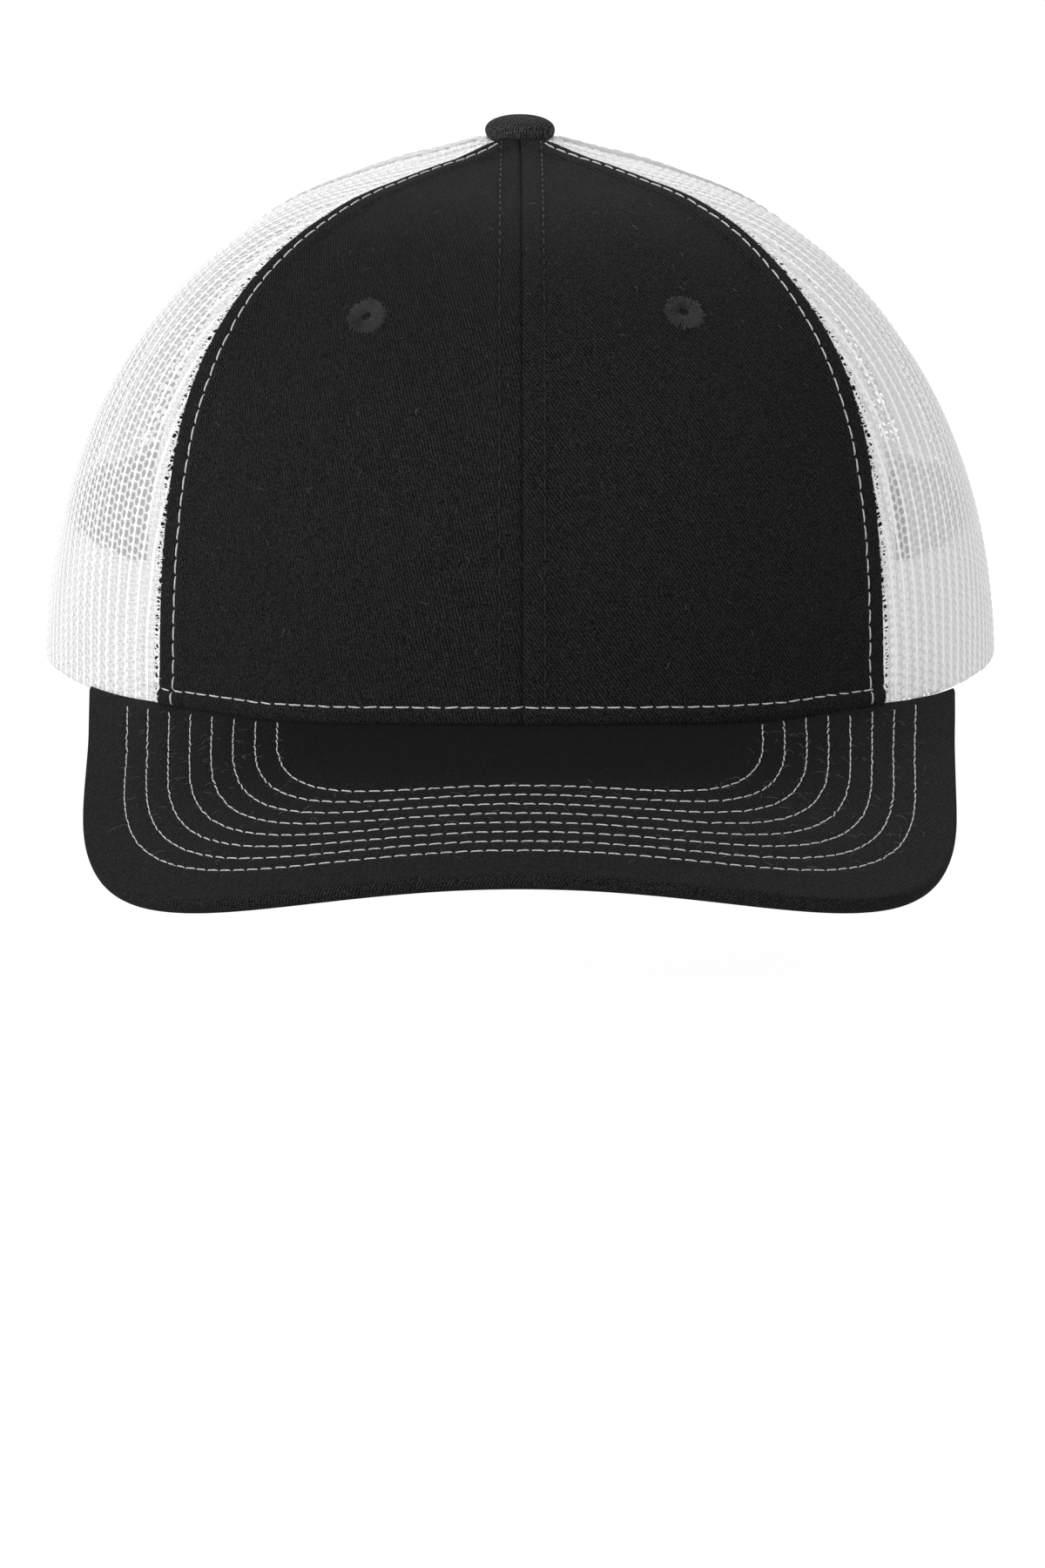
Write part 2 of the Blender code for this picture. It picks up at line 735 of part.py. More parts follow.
def visor_layers():
    """Board between two cloths; the under cloth mirrors the top one through the thickness."""
    cloth = (
        (0.0, ((0.0, 0.7), (0.0, LIP_END))),
        (VISOR_CLOTH, ((LIP_INNER, 0.9), (LIP_INNER, LIP_END))),
    )
    under = [
        (VISOR_THICK - face, [(back, VISOR_THICK - depth) for back, depth in lip])
        for face, lip in cloth
    ]
    board = [(depth, ()) for depth in VISOR_BOARD]
    visor_layer("visor_top_cloth", 4, 0.0, VISOR_GAP, cloth, "black_twill", LIP_START)
    visor_layer(
        "visor_board", 3, VISOR_BOARD_INSET, VISOR_GAP + 1.0, board, "visor_plastic"
    )
    visor_layer("visor_under_cloth", 4, 0.0, VISOR_GAP + 1.3, under, "black_twill", LIP_START)


def visor_stitching():
    for row in range(ROWS):
        share = row / (ROWS - 1)
        half = blend(*ROW_SIDE, share)
        line = visor_outline(half, blend(*ROW_FRONT, share), along_rim(half, ROW_CLEAR), ROW_STEPS)
        points = [visor(x, ahead, -THREAD_LIFT) for x, ahead in line]
        normals = [visor_up(x) for x, ahead in line]
        add_object(f"visor_stitch_row_{row + 1}", cord(points, normals), "white_thread")


# ---------------------------------------------------------------- topstitching on the crown
def crown_thread(name, stations):
    points = [crown(*place, -THREAD_LIFT) for place in stations]
    normals = [outward(*place) for place in stations]
    add_object(name, cord(points, normals), "white_thread")


def seam_thread(side, sign):
    seam = radians(FRONT_SEAM)
    rises = height_to_radius(seam, SEAM_THREAD_LOW, SEAM_THREAD_TOP_RADIUS, 20)
    crown_thread(
        f"seam_thread_{side}",
        [((seam - SEAM_THREAD_OFFSET / radius_at(seam, rise)) * sign, rise) for rise in rises],
    )


def hem_thread():
    """Thread across both front panels, just above the visor."""
    end = FRONT_SEAM - HEM_THREAD_MARGIN
    stations = []
    for angle in spaced(-end, end, 24):
        x = rim(angle)[0]
        height = visor(x, along_rim(x, 0.0)).z + HEM_THREAD_LIFT
        stations.append((angle, rise_at_height(angle, height)))
    crown_thread("front_hem_thread", stations)


# ---------------------------------------------------------------- the whole cap
def centre_on_origin():
    """Put the origin under the middle of the cap, leaving the helpers out of the measure."""
    points = [
        obj.location + vert.co
        for obj in bpy.data.objects
        if not obj.hide_render
        for vert in obj.data.vertices
    ]
    low = [min(values) for values in zip(*points)]
    high = [max(values) for values in zip(*points)]
    shift = Vector(((low[0] + high[0]) / 2, (low[1] + high[1]) / 2, low[2]))
    for obj in bpy.data.objects:
        obj.location -= shift


clear_scene()
for side, sign in SIDES:
    front_panel(side, sign)
    mesh_panels(side, sign)
for tape in SEAM_TAPES:
    seam_tape(*tape)
sweatband()
care_label()
arch_binding()
hole_strap()
peg_strap()
sewn_tab("hole", -1)
sewn_tab("peg", 1)
button()
visor_layers()
visor_stitching()
for side, sign in SIDES:
    seam_thread(side, sign)
hem_thread()
centre_on_origin()
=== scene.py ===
"""Looks of a trucker cap: twill fronts and visor, knitted mesh, stitching, sweatband, snap closure.

Lengths are in millimetres until a mesh is made. The rim of the crown is z = 0 and the head
opening's centre is x = y = 0; the front faces -Y and the "left" pieces lie on -X. SHIFT moves
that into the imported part's frame. On the crown, phi is the angle from the front towards +X,
rise the distance up the cloth from the rim, and out the distance outwards from the surface.
"""
from math import cos, pi, radians, sin

import bpy
import numpy as np
from mathutils import Matrix, Vector


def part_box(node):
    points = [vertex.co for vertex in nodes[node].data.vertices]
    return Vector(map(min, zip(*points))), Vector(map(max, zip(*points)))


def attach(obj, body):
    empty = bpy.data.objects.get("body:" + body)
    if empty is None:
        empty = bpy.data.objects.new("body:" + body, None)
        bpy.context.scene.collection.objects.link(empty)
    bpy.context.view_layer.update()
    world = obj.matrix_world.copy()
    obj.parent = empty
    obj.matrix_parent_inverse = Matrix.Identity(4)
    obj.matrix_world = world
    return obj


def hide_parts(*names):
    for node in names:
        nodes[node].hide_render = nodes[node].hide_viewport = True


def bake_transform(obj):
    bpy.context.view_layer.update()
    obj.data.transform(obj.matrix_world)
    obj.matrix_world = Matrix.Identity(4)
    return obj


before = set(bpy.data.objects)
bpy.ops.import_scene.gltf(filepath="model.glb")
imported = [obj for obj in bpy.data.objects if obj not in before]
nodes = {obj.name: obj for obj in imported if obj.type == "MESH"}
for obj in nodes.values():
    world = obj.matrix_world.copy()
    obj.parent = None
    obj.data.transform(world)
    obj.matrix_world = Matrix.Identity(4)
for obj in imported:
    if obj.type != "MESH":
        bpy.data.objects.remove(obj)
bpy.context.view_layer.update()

rng = np.random.default_rng(7)
SIDES = (("left", -1), ("right", 1))

# ---------------------------------------------------------------- crown surface
HALF_WIDTH, FRONT_DEPTH, BACK_DEPTH, HEIGHT = 94.0, 100.0, 98.0, 101.7
FRONT_SEAM, SIDE_SEAM = radians(47.3), radians(113.5)
FULLNESS = ((0.0, 3.3), (47.3, 3.5), (90.0, 2.0), (180.0, 2.1))  # degrees, profile's exponent
SHIFT = np.array([0.0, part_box("front_panel_left")[0].y * 1000 + FRONT_DEPTH,
                  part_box("sweatband")[0].z * 1000])


def ease(x):
    x = np.clip(x, 0.0, 1.0)
    return x * x * (3.0 - 2.0 * x)


def bell(x, width):
    return np.exp(-((x / width) ** 2))


def unit(vectors):
    return vectors / np.linalg.norm(vectors, axis=-1, keepdims=True)


def run_along(line):
    """Distance along a line at each of its points."""
    return np.concatenate([[0], np.cumsum(np.linalg.norm(np.diff(line, axis=0), axis=1))])


def sample(values, run, want):
    """Rows of values, known at the distances run, at the distances want."""
    return np.stack([np.interp(want, run, values[:, k]) for k in range(values.shape[1])], -1)


def pair(first, second):
    return np.stack(np.broadcast_arrays(first, second), -1)


def circle(count, turn=0.0):
    return 2 * pi * (np.arange(count) + turn) / count


def from_front(phi):
    return np.abs((np.asarray(phi, float) + pi) % (2 * pi) - pi)


def fullness(phi):
    angle = np.degrees(from_front(phi))
    power = np.full(np.shape(angle), FULLNESS[-1][1])
    for (a0, p0), (a1, p1) in reversed(list(zip(FULLNESS, FULLNESS[1:]))):
        power = np.where(angle <= a1, p0 + (p1 - p0) * ease((angle - a0) / (a1 - a0)), power)
    return power


def depth_at(phi):
    return np.where(np.cos(phi) > 0, FRONT_DEPTH, BACK_DEPTH)


def rim(phi):
    return HALF_WIDTH * np.sin(phi), -depth_at(phi) * np.cos(phi)


# tables by angle: height and share of the rim's radius by rise, and rise by height
TABLE_ANGLES, TABLE_STEPS = 181, 500
table_phi = np.linspace(0, pi, TABLE_ANGLES)
height_table, share_table, rise_table = (
    np.zeros((TABLE_ANGLES, TABLE_STEPS + 1)) for _ in range(3)
)
full_rises = np.zeros(TABLE_ANGLES)


def fill_tables():
    slope = pi / 2 * np.linspace(0, 1, 3001) ** 1.6
    share = np.cos(slope)
    for i, phi in enumerate(table_phi):
        height = HEIGHT * np.sin(slope) ** (2 / float(fullness(phi)))
        run = run_along(np.stack([height, np.hypot(*rim(phi)) * share], -1))
        full_rises[i] = run[-1]
        want = np.linspace(0, run[-1], TABLE_STEPS + 1)
        height_table[i] = np.interp(want, run, height)
        share_table[i] = np.interp(want, run, share)
        rise_table[i] = np.interp(np.linspace(0, HEIGHT, TABLE_STEPS + 1), height, run)


fill_tables()


def look_up(table, phi, part):
    """Bilinear look-up in a table by angle and by a part from 0 to 1."""
    row = from_front(phi) / pi * (TABLE_ANGLES - 1)
    i = np.clip(row.astype(int), 0, TABLE_ANGLES - 2)
    row = row - i
    col = np.clip(part, 0, 1) * TABLE_STEPS
    k = np.clip(col.astype(int), 0, TABLE_STEPS - 1)
    col = col - k
    return (
        (table[i, k] * (1 - col) + table[i, k + 1] * col) * (1 - row)
        + (table[i + 1, k] * (1 - col) + table[i + 1, k + 1] * col) * row
    )


def full_rise(phi):
    """Length of cloth from the rim to the top."""
    return np.interp(from_front(phi), table_phi, full_rises)


def by_rise(table, phi, rise, below):
    phi, rise = np.broadcast_arrays(np.asarray(phi, float), np.asarray(rise, float))
    inside = look_up(table, phi, np.maximum(rise, 0) / full_rise(phi))
    return np.where(rise < 0, rise if below is None else below, inside)


def height_at(phi, rise):
    return by_rise(height_table, phi, rise, None)


def share_at(phi, rise):
    """Radius of the crown as a share of the rim's."""
    return by_rise(share_table, phi, rise, 1.0)


def rise_at_height(phi, height):
    phi, height = np.broadcast_arrays(np.asarray(phi, float), np.asarray(height, float))
    return np.where(height < 0, height, look_up(rise_table, phi, np.maximum(height, 0) / HEIGHT))


def rise_at_radius(phi, radius):
    part = np.linspace(0, 1, 400)
    radii = look_up(share_table, np.full(400, phi), part) * np.hypot(*rim(phi))
    return float(np.interp(-radius, -radii, part * full_rise(phi)))


# how far the top sags, by distance from its centre
SAG_RADII = (0.0, 7.0, 10.0, 15.0, 20.0, 30.0, 37.0, 48.0, 60.0)
SAG = (0.45, 0.5, 0.75, 1.5, 1.95, 1.9, 1.65, 0.6, 0.0)


def crown(phi, rise, out=0.0):
    """Points on the crown, which is sewn a little off centre and sags round the button."""
    phi, rise, out = np.broadcast_arrays(*(np.asarray(a, float) for a in (phi, rise, out)))
    turn = (phi + pi) % (2 * pi) - pi
    share = share_at(phi, rise)
    # degrees by which the front is turned aside, more at the left seam's top
    aside = 0.3 + 0.3 * np.clip(turn / FRONT_SEAM, -1, 1) * (1 - ease((rise - 50) / 40))
    left = np.clip(-turn / FRONT_SEAM, 0, 1)
    aside = aside + 0.9 * left * ease((rise - 85) / 25) / np.maximum(share, 0.2)
    phi = phi + np.radians(aside) * (1 - ease((np.abs(turn) - radians(60)) / radians(50)))
    out = out - np.interp(share * np.hypot(*rim(phi)), SAG_RADII, SAG) * (rise > 40)
    z, share = height_at(phi, rise), share_at(phi, rise)
    x, y = rim(phi)
    power = fullness(phi)
    x, y = x * share, y * share
    steep = power * np.maximum(z / HEIGHT, 1e-9) ** (power - 1) / HEIGHT
    normal = unit(np.stack([2 * x / HALF_WIDTH**2, 2 * y / depth_at(phi) ** 2, steep], -1))
    return np.stack([x, y, z], -1) + normal * out[..., None]


def crown_line(phi, rise, out, step=1.0):
    """Points along a line on the crown and their normals; step -1 turns the normals inwards."""
    points = crown(phi, rise, out)
    return points, crown(phi, rise, out + step) - points


def per_radian(phi):
    """Millimetres of rim for each radian."""
    return np.hypot(HALF_WIDTH * np.cos(phi), depth_at(phi) * np.sin(phi))


def local_radius(phi, rise):
    """Millimetres across the cloth for each radian."""
    return per_radian(phi) * share_at(phi, rise)


def wobble(phi, rise, offset=0.0):
    """Slow unevenness of the cloth, about 0.3 mm."""
    return 0.16 * (
        np.sin(3.1 * phi + 0.045 * rise + offset)
        + 0.8 * np.sin(7.3 * phi - 0.081 * rise + 1.7 + offset)
        + 0.5 * np.sin(13.7 * phi + 0.13 * rise + 0.6)
    )


# ---------------------------------------------------------------- visor surface
# (x, ahead): across the visor and forwards from the crown's front; down is below its top face
DROOP, BEND, SEAT = radians(13.5), 219.7, 3.0  # tilt, radius of its arch, height at the crown
SIDEWAYS = np.array([1.0, 0, 0])
FORWARD = np.array([0, -cos(DROOP), -sin(DROOP)])
UP = np.array([0, -sin(DROOP), cos(DROOP)])
REACH, VISOR_HALF, SHOULDER, WING, THICK = 70.5, 83.0, -10.0, -48.5, 3.3
POWER = (4.3, 3.0)  # squareness of the outline, by x and by ahead
CURL_X = (0, 35, 50, 58, 66, 70, 83)
CURL = (-0.8, -0.8, -0.3, 0.6, 1.1, 1.4, 1.1)  # rise beside the crown, by |x|


def along_rim(x, clear=0.0):
    """How far forwards the visor meets the rim, or a line clear of it."""
    x = np.asarray(x, float)
    inside = np.maximum(0, 1 - (x / (HALF_WIDTH + clear)) ** 2)
    y = -(FRONT_DEPTH + clear) * np.sqrt(inside)
    fall = BEND * (1 - np.cos(np.arcsin(x / BEND)))
    return (-FRONT_DEPTH + fall * sin(DROOP) - y) / cos(DROOP)


def visor_up(x):
    angle = np.arcsin(np.asarray(x, float) / BEND)
    return np.sin(angle)[..., None] * SIDEWAYS + np.cos(angle)[..., None] * UP


def visor(x, ahead, down=0.0):
    x, ahead, down = np.broadcast_arrays(*(np.asarray(a, float) for a in (x, ahead, down)))
    x = x + 0.9 * ease((x - 45) / 38) * (1 - ease((ahead + 47) / 55))
    beyond = ahead - along_rim(np.clip(x, -93, 93))
    down = down - np.interp(np.abs(x), CURL_X, CURL) * (1 - ease((beyond - 1) / 26))
    middle = np.array([0, -FRONT_DEPTH, SEAT]) - BEND * UP
    return middle + (BEND - down)[..., None] * visor_up(x) + ahead[..., None] * FORWARD


def seat_height(phi):
    """Height of the visor's top where it meets the crown."""
    x = HALF_WIDTH * np.sin(np.clip(np.abs(phi), 0, radians(61.5)))
    return visor(x, along_rim(x))[..., 2]


def seat_rise(phi):
    return rise_at_height(phi, seat_height(phi))


def even(line, count):
    run = run_along(line)
    return sample(line, run, np.linspace(0, run[-1], count + 1))


def visor_curve(half, front, back, count):
    """(x, ahead) round a visor-shaped curve from one wing to the other."""
    angle = np.linspace(-pi / 2, pi / 2, 1601)
    x = half * np.abs(np.sin(angle)) ** (2 / POWER[0]) * np.sign(angle)
    ahead = SHOULDER + (front - SHOULDER) * np.maximum(np.cos(angle), 0) ** (2 / POWER[1])
    wing = np.linspace(back, SHOULDER, 60)[:-1]
    line = [pair(-half, wing), pair(x, ahead), pair(half, wing[::-1])]
    return even(np.concatenate(line), count)


ROWS = 8
ROW_FRONT, ROW_HALF = (30.1, 59.3), (46.1, 74.8)  # first and last stitch row
FRONT_STEP = (ROW_FRONT[1] - ROW_FRONT[0]) / (ROWS - 1)
HALF_STEP = (ROW_HALF[1] - ROW_HALF[0]) / (ROWS - 1)


def row_line(row, clear, count):
    half = ROW_HALF[0] + HALF_STEP * row
    return visor_curve(half, ROW_FRONT[0] + FRONT_STEP * row, float(along_rim(half, clear)), count)


def row_number(x, ahead):
    """Which stitch row, counted from 0 and continuous, passes through a point of the visor."""
    x = np.abs(np.asarray(x, float))
    beyond = np.maximum(ahead - SHOULDER, 0)
    low, high = np.full(x.shape, -8.0), np.full(x.shape, 14.0)
    for _ in range(30):
        mid = (low + high) / 2
        outside = (
            (x / (ROW_HALF[0] + HALF_STEP * mid)) ** POWER[0]
            + (beyond / (ROW_FRONT[0] - SHOULDER + FRONT_STEP * mid)) ** POWER[1]
        ) > 1
        low, high = np.where(outside, mid, low), np.where(outside, high, mid)
    return (low + high) / 2


def visor_puff(x, ahead):
    """Quilting of the visor's cloth: a dip along each stitch row."""
    number = row_number(x, ahead)
    away = (number - np.clip(np.round(number), 0, ROWS - 1)) * 4.1
    swell = 0.05 * (1 - bell(away, 1.6)) * (np.abs(number - 3.5) < 4)
    return -0.17 * bell(away, 0.55) + swell + 0.10 * np.sin(0.05 * x + 1) * np.sin(0.043 * ahead)


# ---------------------------------------------------------------- mesh building
# a body is (verts, quads, uv)
MATERIALS = {}


def add(name, body, mat, inner_mat=None, split=0):
    """Makes an object of a body; faces from number split on take the inner material."""
    verts, quads, uv = body
    verts = (verts + SHIFT) * 0.001
    quads = np.asarray(quads, np.int32)
    mesh = bpy.data.meshes.new(name)
    mesh.vertices.add(len(verts))
    mesh.vertices.foreach_set("co", verts.astype(np.float32).ravel())
    mesh.loops.add(quads.size)
    mesh.loops.foreach_set("vertex_index", quads.ravel())
    mesh.polygons.add(len(quads))
    mesh.polygons.foreach_set("loop_start", np.arange(0, quads.size, 4, dtype=np.int32))
    mesh.polygons.foreach_set("use_smooth", np.full(len(quads), True))
    layer = mesh.uv_layers.new(name="UVMap")
    uv = np.asarray(uv, np.float32).reshape(-1, 2)
    layer.data.foreach_set("uv", uv[quads.ravel()].ravel())
    mesh.update(calc_edges=True)
    mesh.validate()
    mesh.materials.append(MATERIALS[mat])
    if inner_mat:
        mesh.materials.append(MATERIALS[inner_mat])
        slots = (np.arange(len(mesh.polygons)) >= split).astype(np.int32)
        mesh.polygons.foreach_set("material_index", slots)
    part = bpy.data.objects.new(name, mesh)
    bpy.context.scene.collection.objects.link(part)
    return part


def grid_quads(rows, cols):
    i, j = np.meshgrid(np.arange(rows - 1), np.arange(cols - 1), indexing="ij")
    corner = (i * cols + j).ravel()
    return np.stack([corner, corner + cols, corner + cols + 1, corner + 1], -1)


def ring_quads(rings, around, closed=False):
    """Faces between rings of points; closed also joins the last ring to the first."""
    i, j = np.meshgrid(np.arange(rings - (not closed)), np.arange(around), indexing="ij")
    this, after, beside = i * around, (i + 1) % rings * around, (j + 1) % around
    return np.stack([this + j, this + beside, after + beside, after + j], -1).reshape(-1, 4)


def sheet(outer, inner, uv):
    """Closed body between two grids of points; the outer one is counter-clockwise from outside."""
    rows, cols = outer.shape[:2]
    count = rows * cols
    faces = grid_quads(rows, cols)
    quads = [faces, faces[:, ::-1] + count]
    i, j = np.arange(rows - 1), np.arange(cols - 1)
    for edge, step, turn in (
        (i * cols, cols, 1),
        (i * cols + cols - 1, cols, -1),
        (j, 1, -1),
        ((rows - 1) * cols + j, 1, 1),
    ):
        wall = np.stack([edge, edge + count, edge + step + count, edge + step], -1)
        quads.append(wall[:, ::turn])
    verts = np.concatenate([outer.reshape(-1, 3), inner.reshape(-1, 3)])
    return verts, np.concatenate(quads), np.concatenate([uv.reshape(-1, 2)] * 2)


def facing_out(verts, quads, size=None):
    """Turns round the faces of every body, of size points each, whose faces point inwards."""
    size = size or len(verts)
    owner = quads[:, 0] // size
    edges = verts[quads] - verts[quads[:, :1]]
    area = np.cross(edges[:, 1], edges[:, 2]) + np.cross(edges[:, 2], edges[:, 3])
    volume = np.einsum("ij,ij->i", verts[quads[:, 0]] - verts[owner * size], area)
    flip = np.bincount(owner, weights=volume)[owner] < 0
    quads[flip] = quads[flip][:, ::-1]
    return quads


def tubes(points):
    """Closed tubes from points (tube, ring, around, 3), an even number around: verts, quads."""
    count, rings, around = points.shape[:3]
    base = np.arange(count) * rings * around
    quads = [(base[:, None, None] + ring_quads(rings, around)).reshape(-1, 4)]
    for end, turn in ((0, -1), ((rings - 1) * around, 1)):
        for k in range(1, around - 2, 2):
            cap = np.stack([base + end + x for x in (0, k, k + 1, k + 2)], -1)
            quads.append(cap[:, ::turn])
    verts = points.reshape(-1, 3)
    return verts, facing_out(verts, np.concatenate(quads), rings * around)


def join(parts):
    verts, quads, uvs = zip(*parts)
    starts = np.cumsum([0] + [len(v) for v in verts[:-1]])
    quads = [q + start for q, start in zip(quads, starts)]
    uvs = [uv.reshape(-1, 2) for uv in uvs]
    return np.concatenate(verts), np.concatenate(quads), np.concatenate(uvs)


def stitches(line, pitch, long, radius=0.19, jitter=0.05, start=0.0, stop=0.0, lean=0.05):
    """Separate twisted stitches along (points, normals), diving into the cloth at their ends."""
    points, normals = line
    run = run_along(points)
    count = int((run[-1] - start - stop) / pitch)
    centre = start + (np.arange(count) + 0.5) * pitch + rng.normal(0, jitter, count)
    share = np.linspace(-1, 1, 9)
    along = share * long / 2
    want = centre[:, None] + along
    middle = sample(points, run, want)
    normal = unit(sample(normals, run, want))
    side = np.cross(unit(np.gradient(middle, axis=1)), normal)
    swing = rng.normal(0, lean, count)[:, None, None] * along[:, None]
    high = radius * (0.75 - 1.9 * np.abs(share) ** 9) + 0.05 * (1 - share**2)
    aside = swing + rng.normal(0, 0.03, count)[:, None, None]
    middle = middle + normal * high[:, None] + side * aside
    angle = circle(8)
    twist = 3.4 * along[:, None] / 1.4 + angle
    thick = radius * (1 - 0.35 * np.abs(share) ** 3)[:, None] * (0.82 + 0.26 * np.cos(twist) ** 2)
    ring = (
        middle[:, :, None]
        + side[:, :, None] * (thick * np.cos(angle))[..., None]
        + normal[:, :, None] * (thick * np.sin(angle))[..., None]
    )
    verts, quads = tubes(ring)
    return verts, quads, pair(along[:, None] + 0 * ring[..., 0], angle)


def cord(line, radius, flat=0.75):
    """One closed cord, slightly flattened, along (points, normals)."""
    points, normals = line
    ahead = unit(np.gradient(points, axis=0))
    side = unit(np.cross(ahead, normals))
    normal = np.cross(side, ahead)
    angle = circle(8)
    wide = radius[:, None] * np.cos(angle)
    high = radius[:, None] * flat * np.sin(angle)
    ring = points[:, None] + side[:, None] * wide[..., None] + normal[:, None] * high[..., None]
    verts, quads = tubes(ring[None])
    return verts, quads, pair(run_along(points)[:, None], angle * 0.5)


def turned(profile, steps):
    """Closed body of revolution; the profile runs (radius, height) from the axis back to it."""
    radius, height = np.array(profile, float).T[:, :, None]
    angle = circle(steps)
    ring = np.stack([radius * np.cos(angle), radius * np.sin(angle), height + 0 * angle], -1)
    verts = ring.reshape(-1, 3)
    return verts, ring_quads(len(profile), steps), verts[:, :2].copy()


# ---------------------------------------------------------------- materials
def scaled(colour, factor):
    return tuple(factor * c for c in colour)


class Shader:
    """A material under construction; its texture lengths are millimetres of the UV map."""

    def __init__(self, name):
        self.mat = MATERIALS[name] = bpy.data.materials.new(name)
        self.mat.use_nodes = True
        self.tree = self.mat.node_tree
        self.surface = self.tree.nodes["Principled BSDF"]

    def feed(self, socket, value):
        """Links an output to a socket, or sets the socket's value."""
        if hasattr(value, "is_output"):
            self.tree.links.new(value, socket)
        else:
            socket.default_value = (*value, 1) if socket.type == "RGBA" else value

    def node(self, kind, **settings):
        node = self.tree.nodes.new("ShaderNode" + kind)
        for key, value in settings.items():
            if hasattr(node, key):
                setattr(node, key, value)
            else:
                self.feed(node.inputs[key.replace("_", " ")], value)
        return node

    def put(self, **values):
        for key, value in values.items():
            self.feed(self.surface.inputs[key.replace("_", " ")], value)

    def math(self, operation, *values):
        node = self.node("Math", operation=operation)
        for socket, value in zip(node.inputs, values):
            self.feed(socket, value)
        return node.outputs[0]

    def uv(self, turn=0.0):
        """The UV map turned by some degrees."""
        source = self.node("UVMap", uv_map="UVMap").outputs[0]
        return self.node("Mapping", Vector=source, Rotation=(0, 0, radians(turn))).outputs[0]

    def wave(self, vector, pitch, distortion, direction="X", detail=1.0, detail_scale=1.0):
        return self.node(
            "TexWave", bands_direction=direction, Scale=0.31416 / pitch, Distortion=distortion,
            Detail=detail, Detail_Scale=detail_scale, Vector=vector,
        ).outputs["Fac"]

    def noise(self, scale, detail=2.0, rough=0.5):
        place = self.node("TexCoord").outputs["Object"]
        return self.node(
            "TexNoise", Scale=scale, Detail=detail, Roughness=rough, Vector=place
        ).outputs["Fac"]

    def ramp(self, value, stops):
        ramp = self.node("ValToRGB")
        elements = ramp.color_ramp.elements
        while len(elements) < len(stops):
            elements.new(0.5)
        for element, (position, colour) in zip(elements, stops):
            element.position = position
            element.color = (*colour, 1)
        self.tree.links.new(value, ramp.inputs[0])
        return ramp.outputs[0]

    def mix(self, first, second, factor):
        node = self.node("Mix", data_type="RGBA", blend_type="MIX")
        for k, value in ((0, factor), (6, first), (7, second)):
            self.feed(node.inputs[k], value)
        return node.outputs[2]

    def bump(self, height, distance, strength):
        return self.node("Bump", Strength=strength, Distance=distance, Height=height).outputs[0]


# ramp position and colour, from the gaps between black yarns to their lit fuzz
TWILL_SHADES = (
    (0.1, (0.001, 0.001, 0.0011)),
    (0.55, (0.0088, 0.0088, 0.0092)),
    (1.0, (0.046, 0.046, 0.047)),
)


def twill(name, lean, pitch, gain, relief=1.0, painted_crown_shadow=False):
    """Black cotton twill: diagonal ribs made of short yarn floats, with a little fuzz and lint."""
    s = Shader(name)
    rib = s.wave(s.uv(lean), pitch, distortion=1.1, detail=2.0, detail_scale=2.2)
    floats = s.wave(s.uv(lean + 62), pitch * 0.72, distortion=0.9, detail_scale=3.0)
    fine = s.noise(2600, detail=3.0)
    hair = s.noise(5600, rough=0.7)
    slow = s.noise(55, detail=3.0)
    ribs = s.math("MULTIPLY", rib, s.math("MULTIPLY_ADD", floats, 0.45, 0.55))
    height = s.math("ADD", ribs, s.math("MULTIPLY", fine, 0.4))
    specks = s.math("MULTIPLY", s.math("SUBTRACT", hair, 0.5), 6.4)
    fleck = s.math("ADD", s.math("MULTIPLY", height, 0.75), specks)
    colour = s.ramp(fleck, [(at, scaled(shade, gain)) for at, shade in TWILL_SHADES])
    patches = s.math("MULTIPLY", s.math("SUBTRACT", slow, 0.42), 0.35)
    colour = s.mix(colour, scaled((0.018, 0.018, 0.0185), gain), patches)
    lint = s.math("GREATER_THAN", s.noise(900, detail=1.0), 0.765)
    colour = s.mix(colour, (0.07, 0.07, 0.072), s.math("MULTIPLY", lint, 0.3))
    if painted_crown_shadow:
        # painted shade: blacker cloth in an oval inside the first stitch row, beside the crown,
        # standing in for the shade the crown casts on the visor
        oval = s.node("VectorMath", operation="MULTIPLY")
        s.feed(oval.inputs[0], s.uv())
        oval.inputs[1].default_value = (1 / 62, 1 / 34, 0)
        far = s.node("VectorMath", operation="LENGTH", Vector=oval.outputs[0])
        fade = s.node("MapRange", interpolation_type="SMOOTHSTEP", From_Min=0.6, From_Max=1.25,
                      To_Min=0.3, To_Max=1.0, Value=far.outputs["Value"])
        colour = s.mix((0.0015, 0.0015, 0.0016), colour, fade.outputs[0])
    s.put(
        Base_Color=colour, Roughness=0.95, Normal=s.bump(height, 0.00026 * relief, 0.9),
        Specular_IOR_Level=0.08, Sheen_Weight=0.02, Sheen_Roughness=0.5,
        Sheen_Tint=(0.8, 0.8, 0.82),
    )


def yarn(name, colour, rough, bump=0.00006, sheen=0.1, varied=False, pitch=0.34):
    """Spun or filament thread: fine lay lines along it."""
    s = Shader(name)
    lay = s.wave(s.uv(32), pitch, distortion=0.6, detail_scale=2.0)
    fuzz = s.noise(3200)
    height = s.math("ADD", lay, s.math("MULTIPLY", fuzz, 0.6))
    s.put(
        Base_Color=s.mix(scaled(colour, 0.72), colour, height) if varied else colour,
        Roughness=s.math("MULTIPLY_ADD", fuzz, 0.25, rough - 0.12),
        Normal=s.bump(height, bump, 0.7),
        Sheen_Weight=sheen, Sheen_Roughness=0.4, Specular_IOR_Level=0.35,
    )


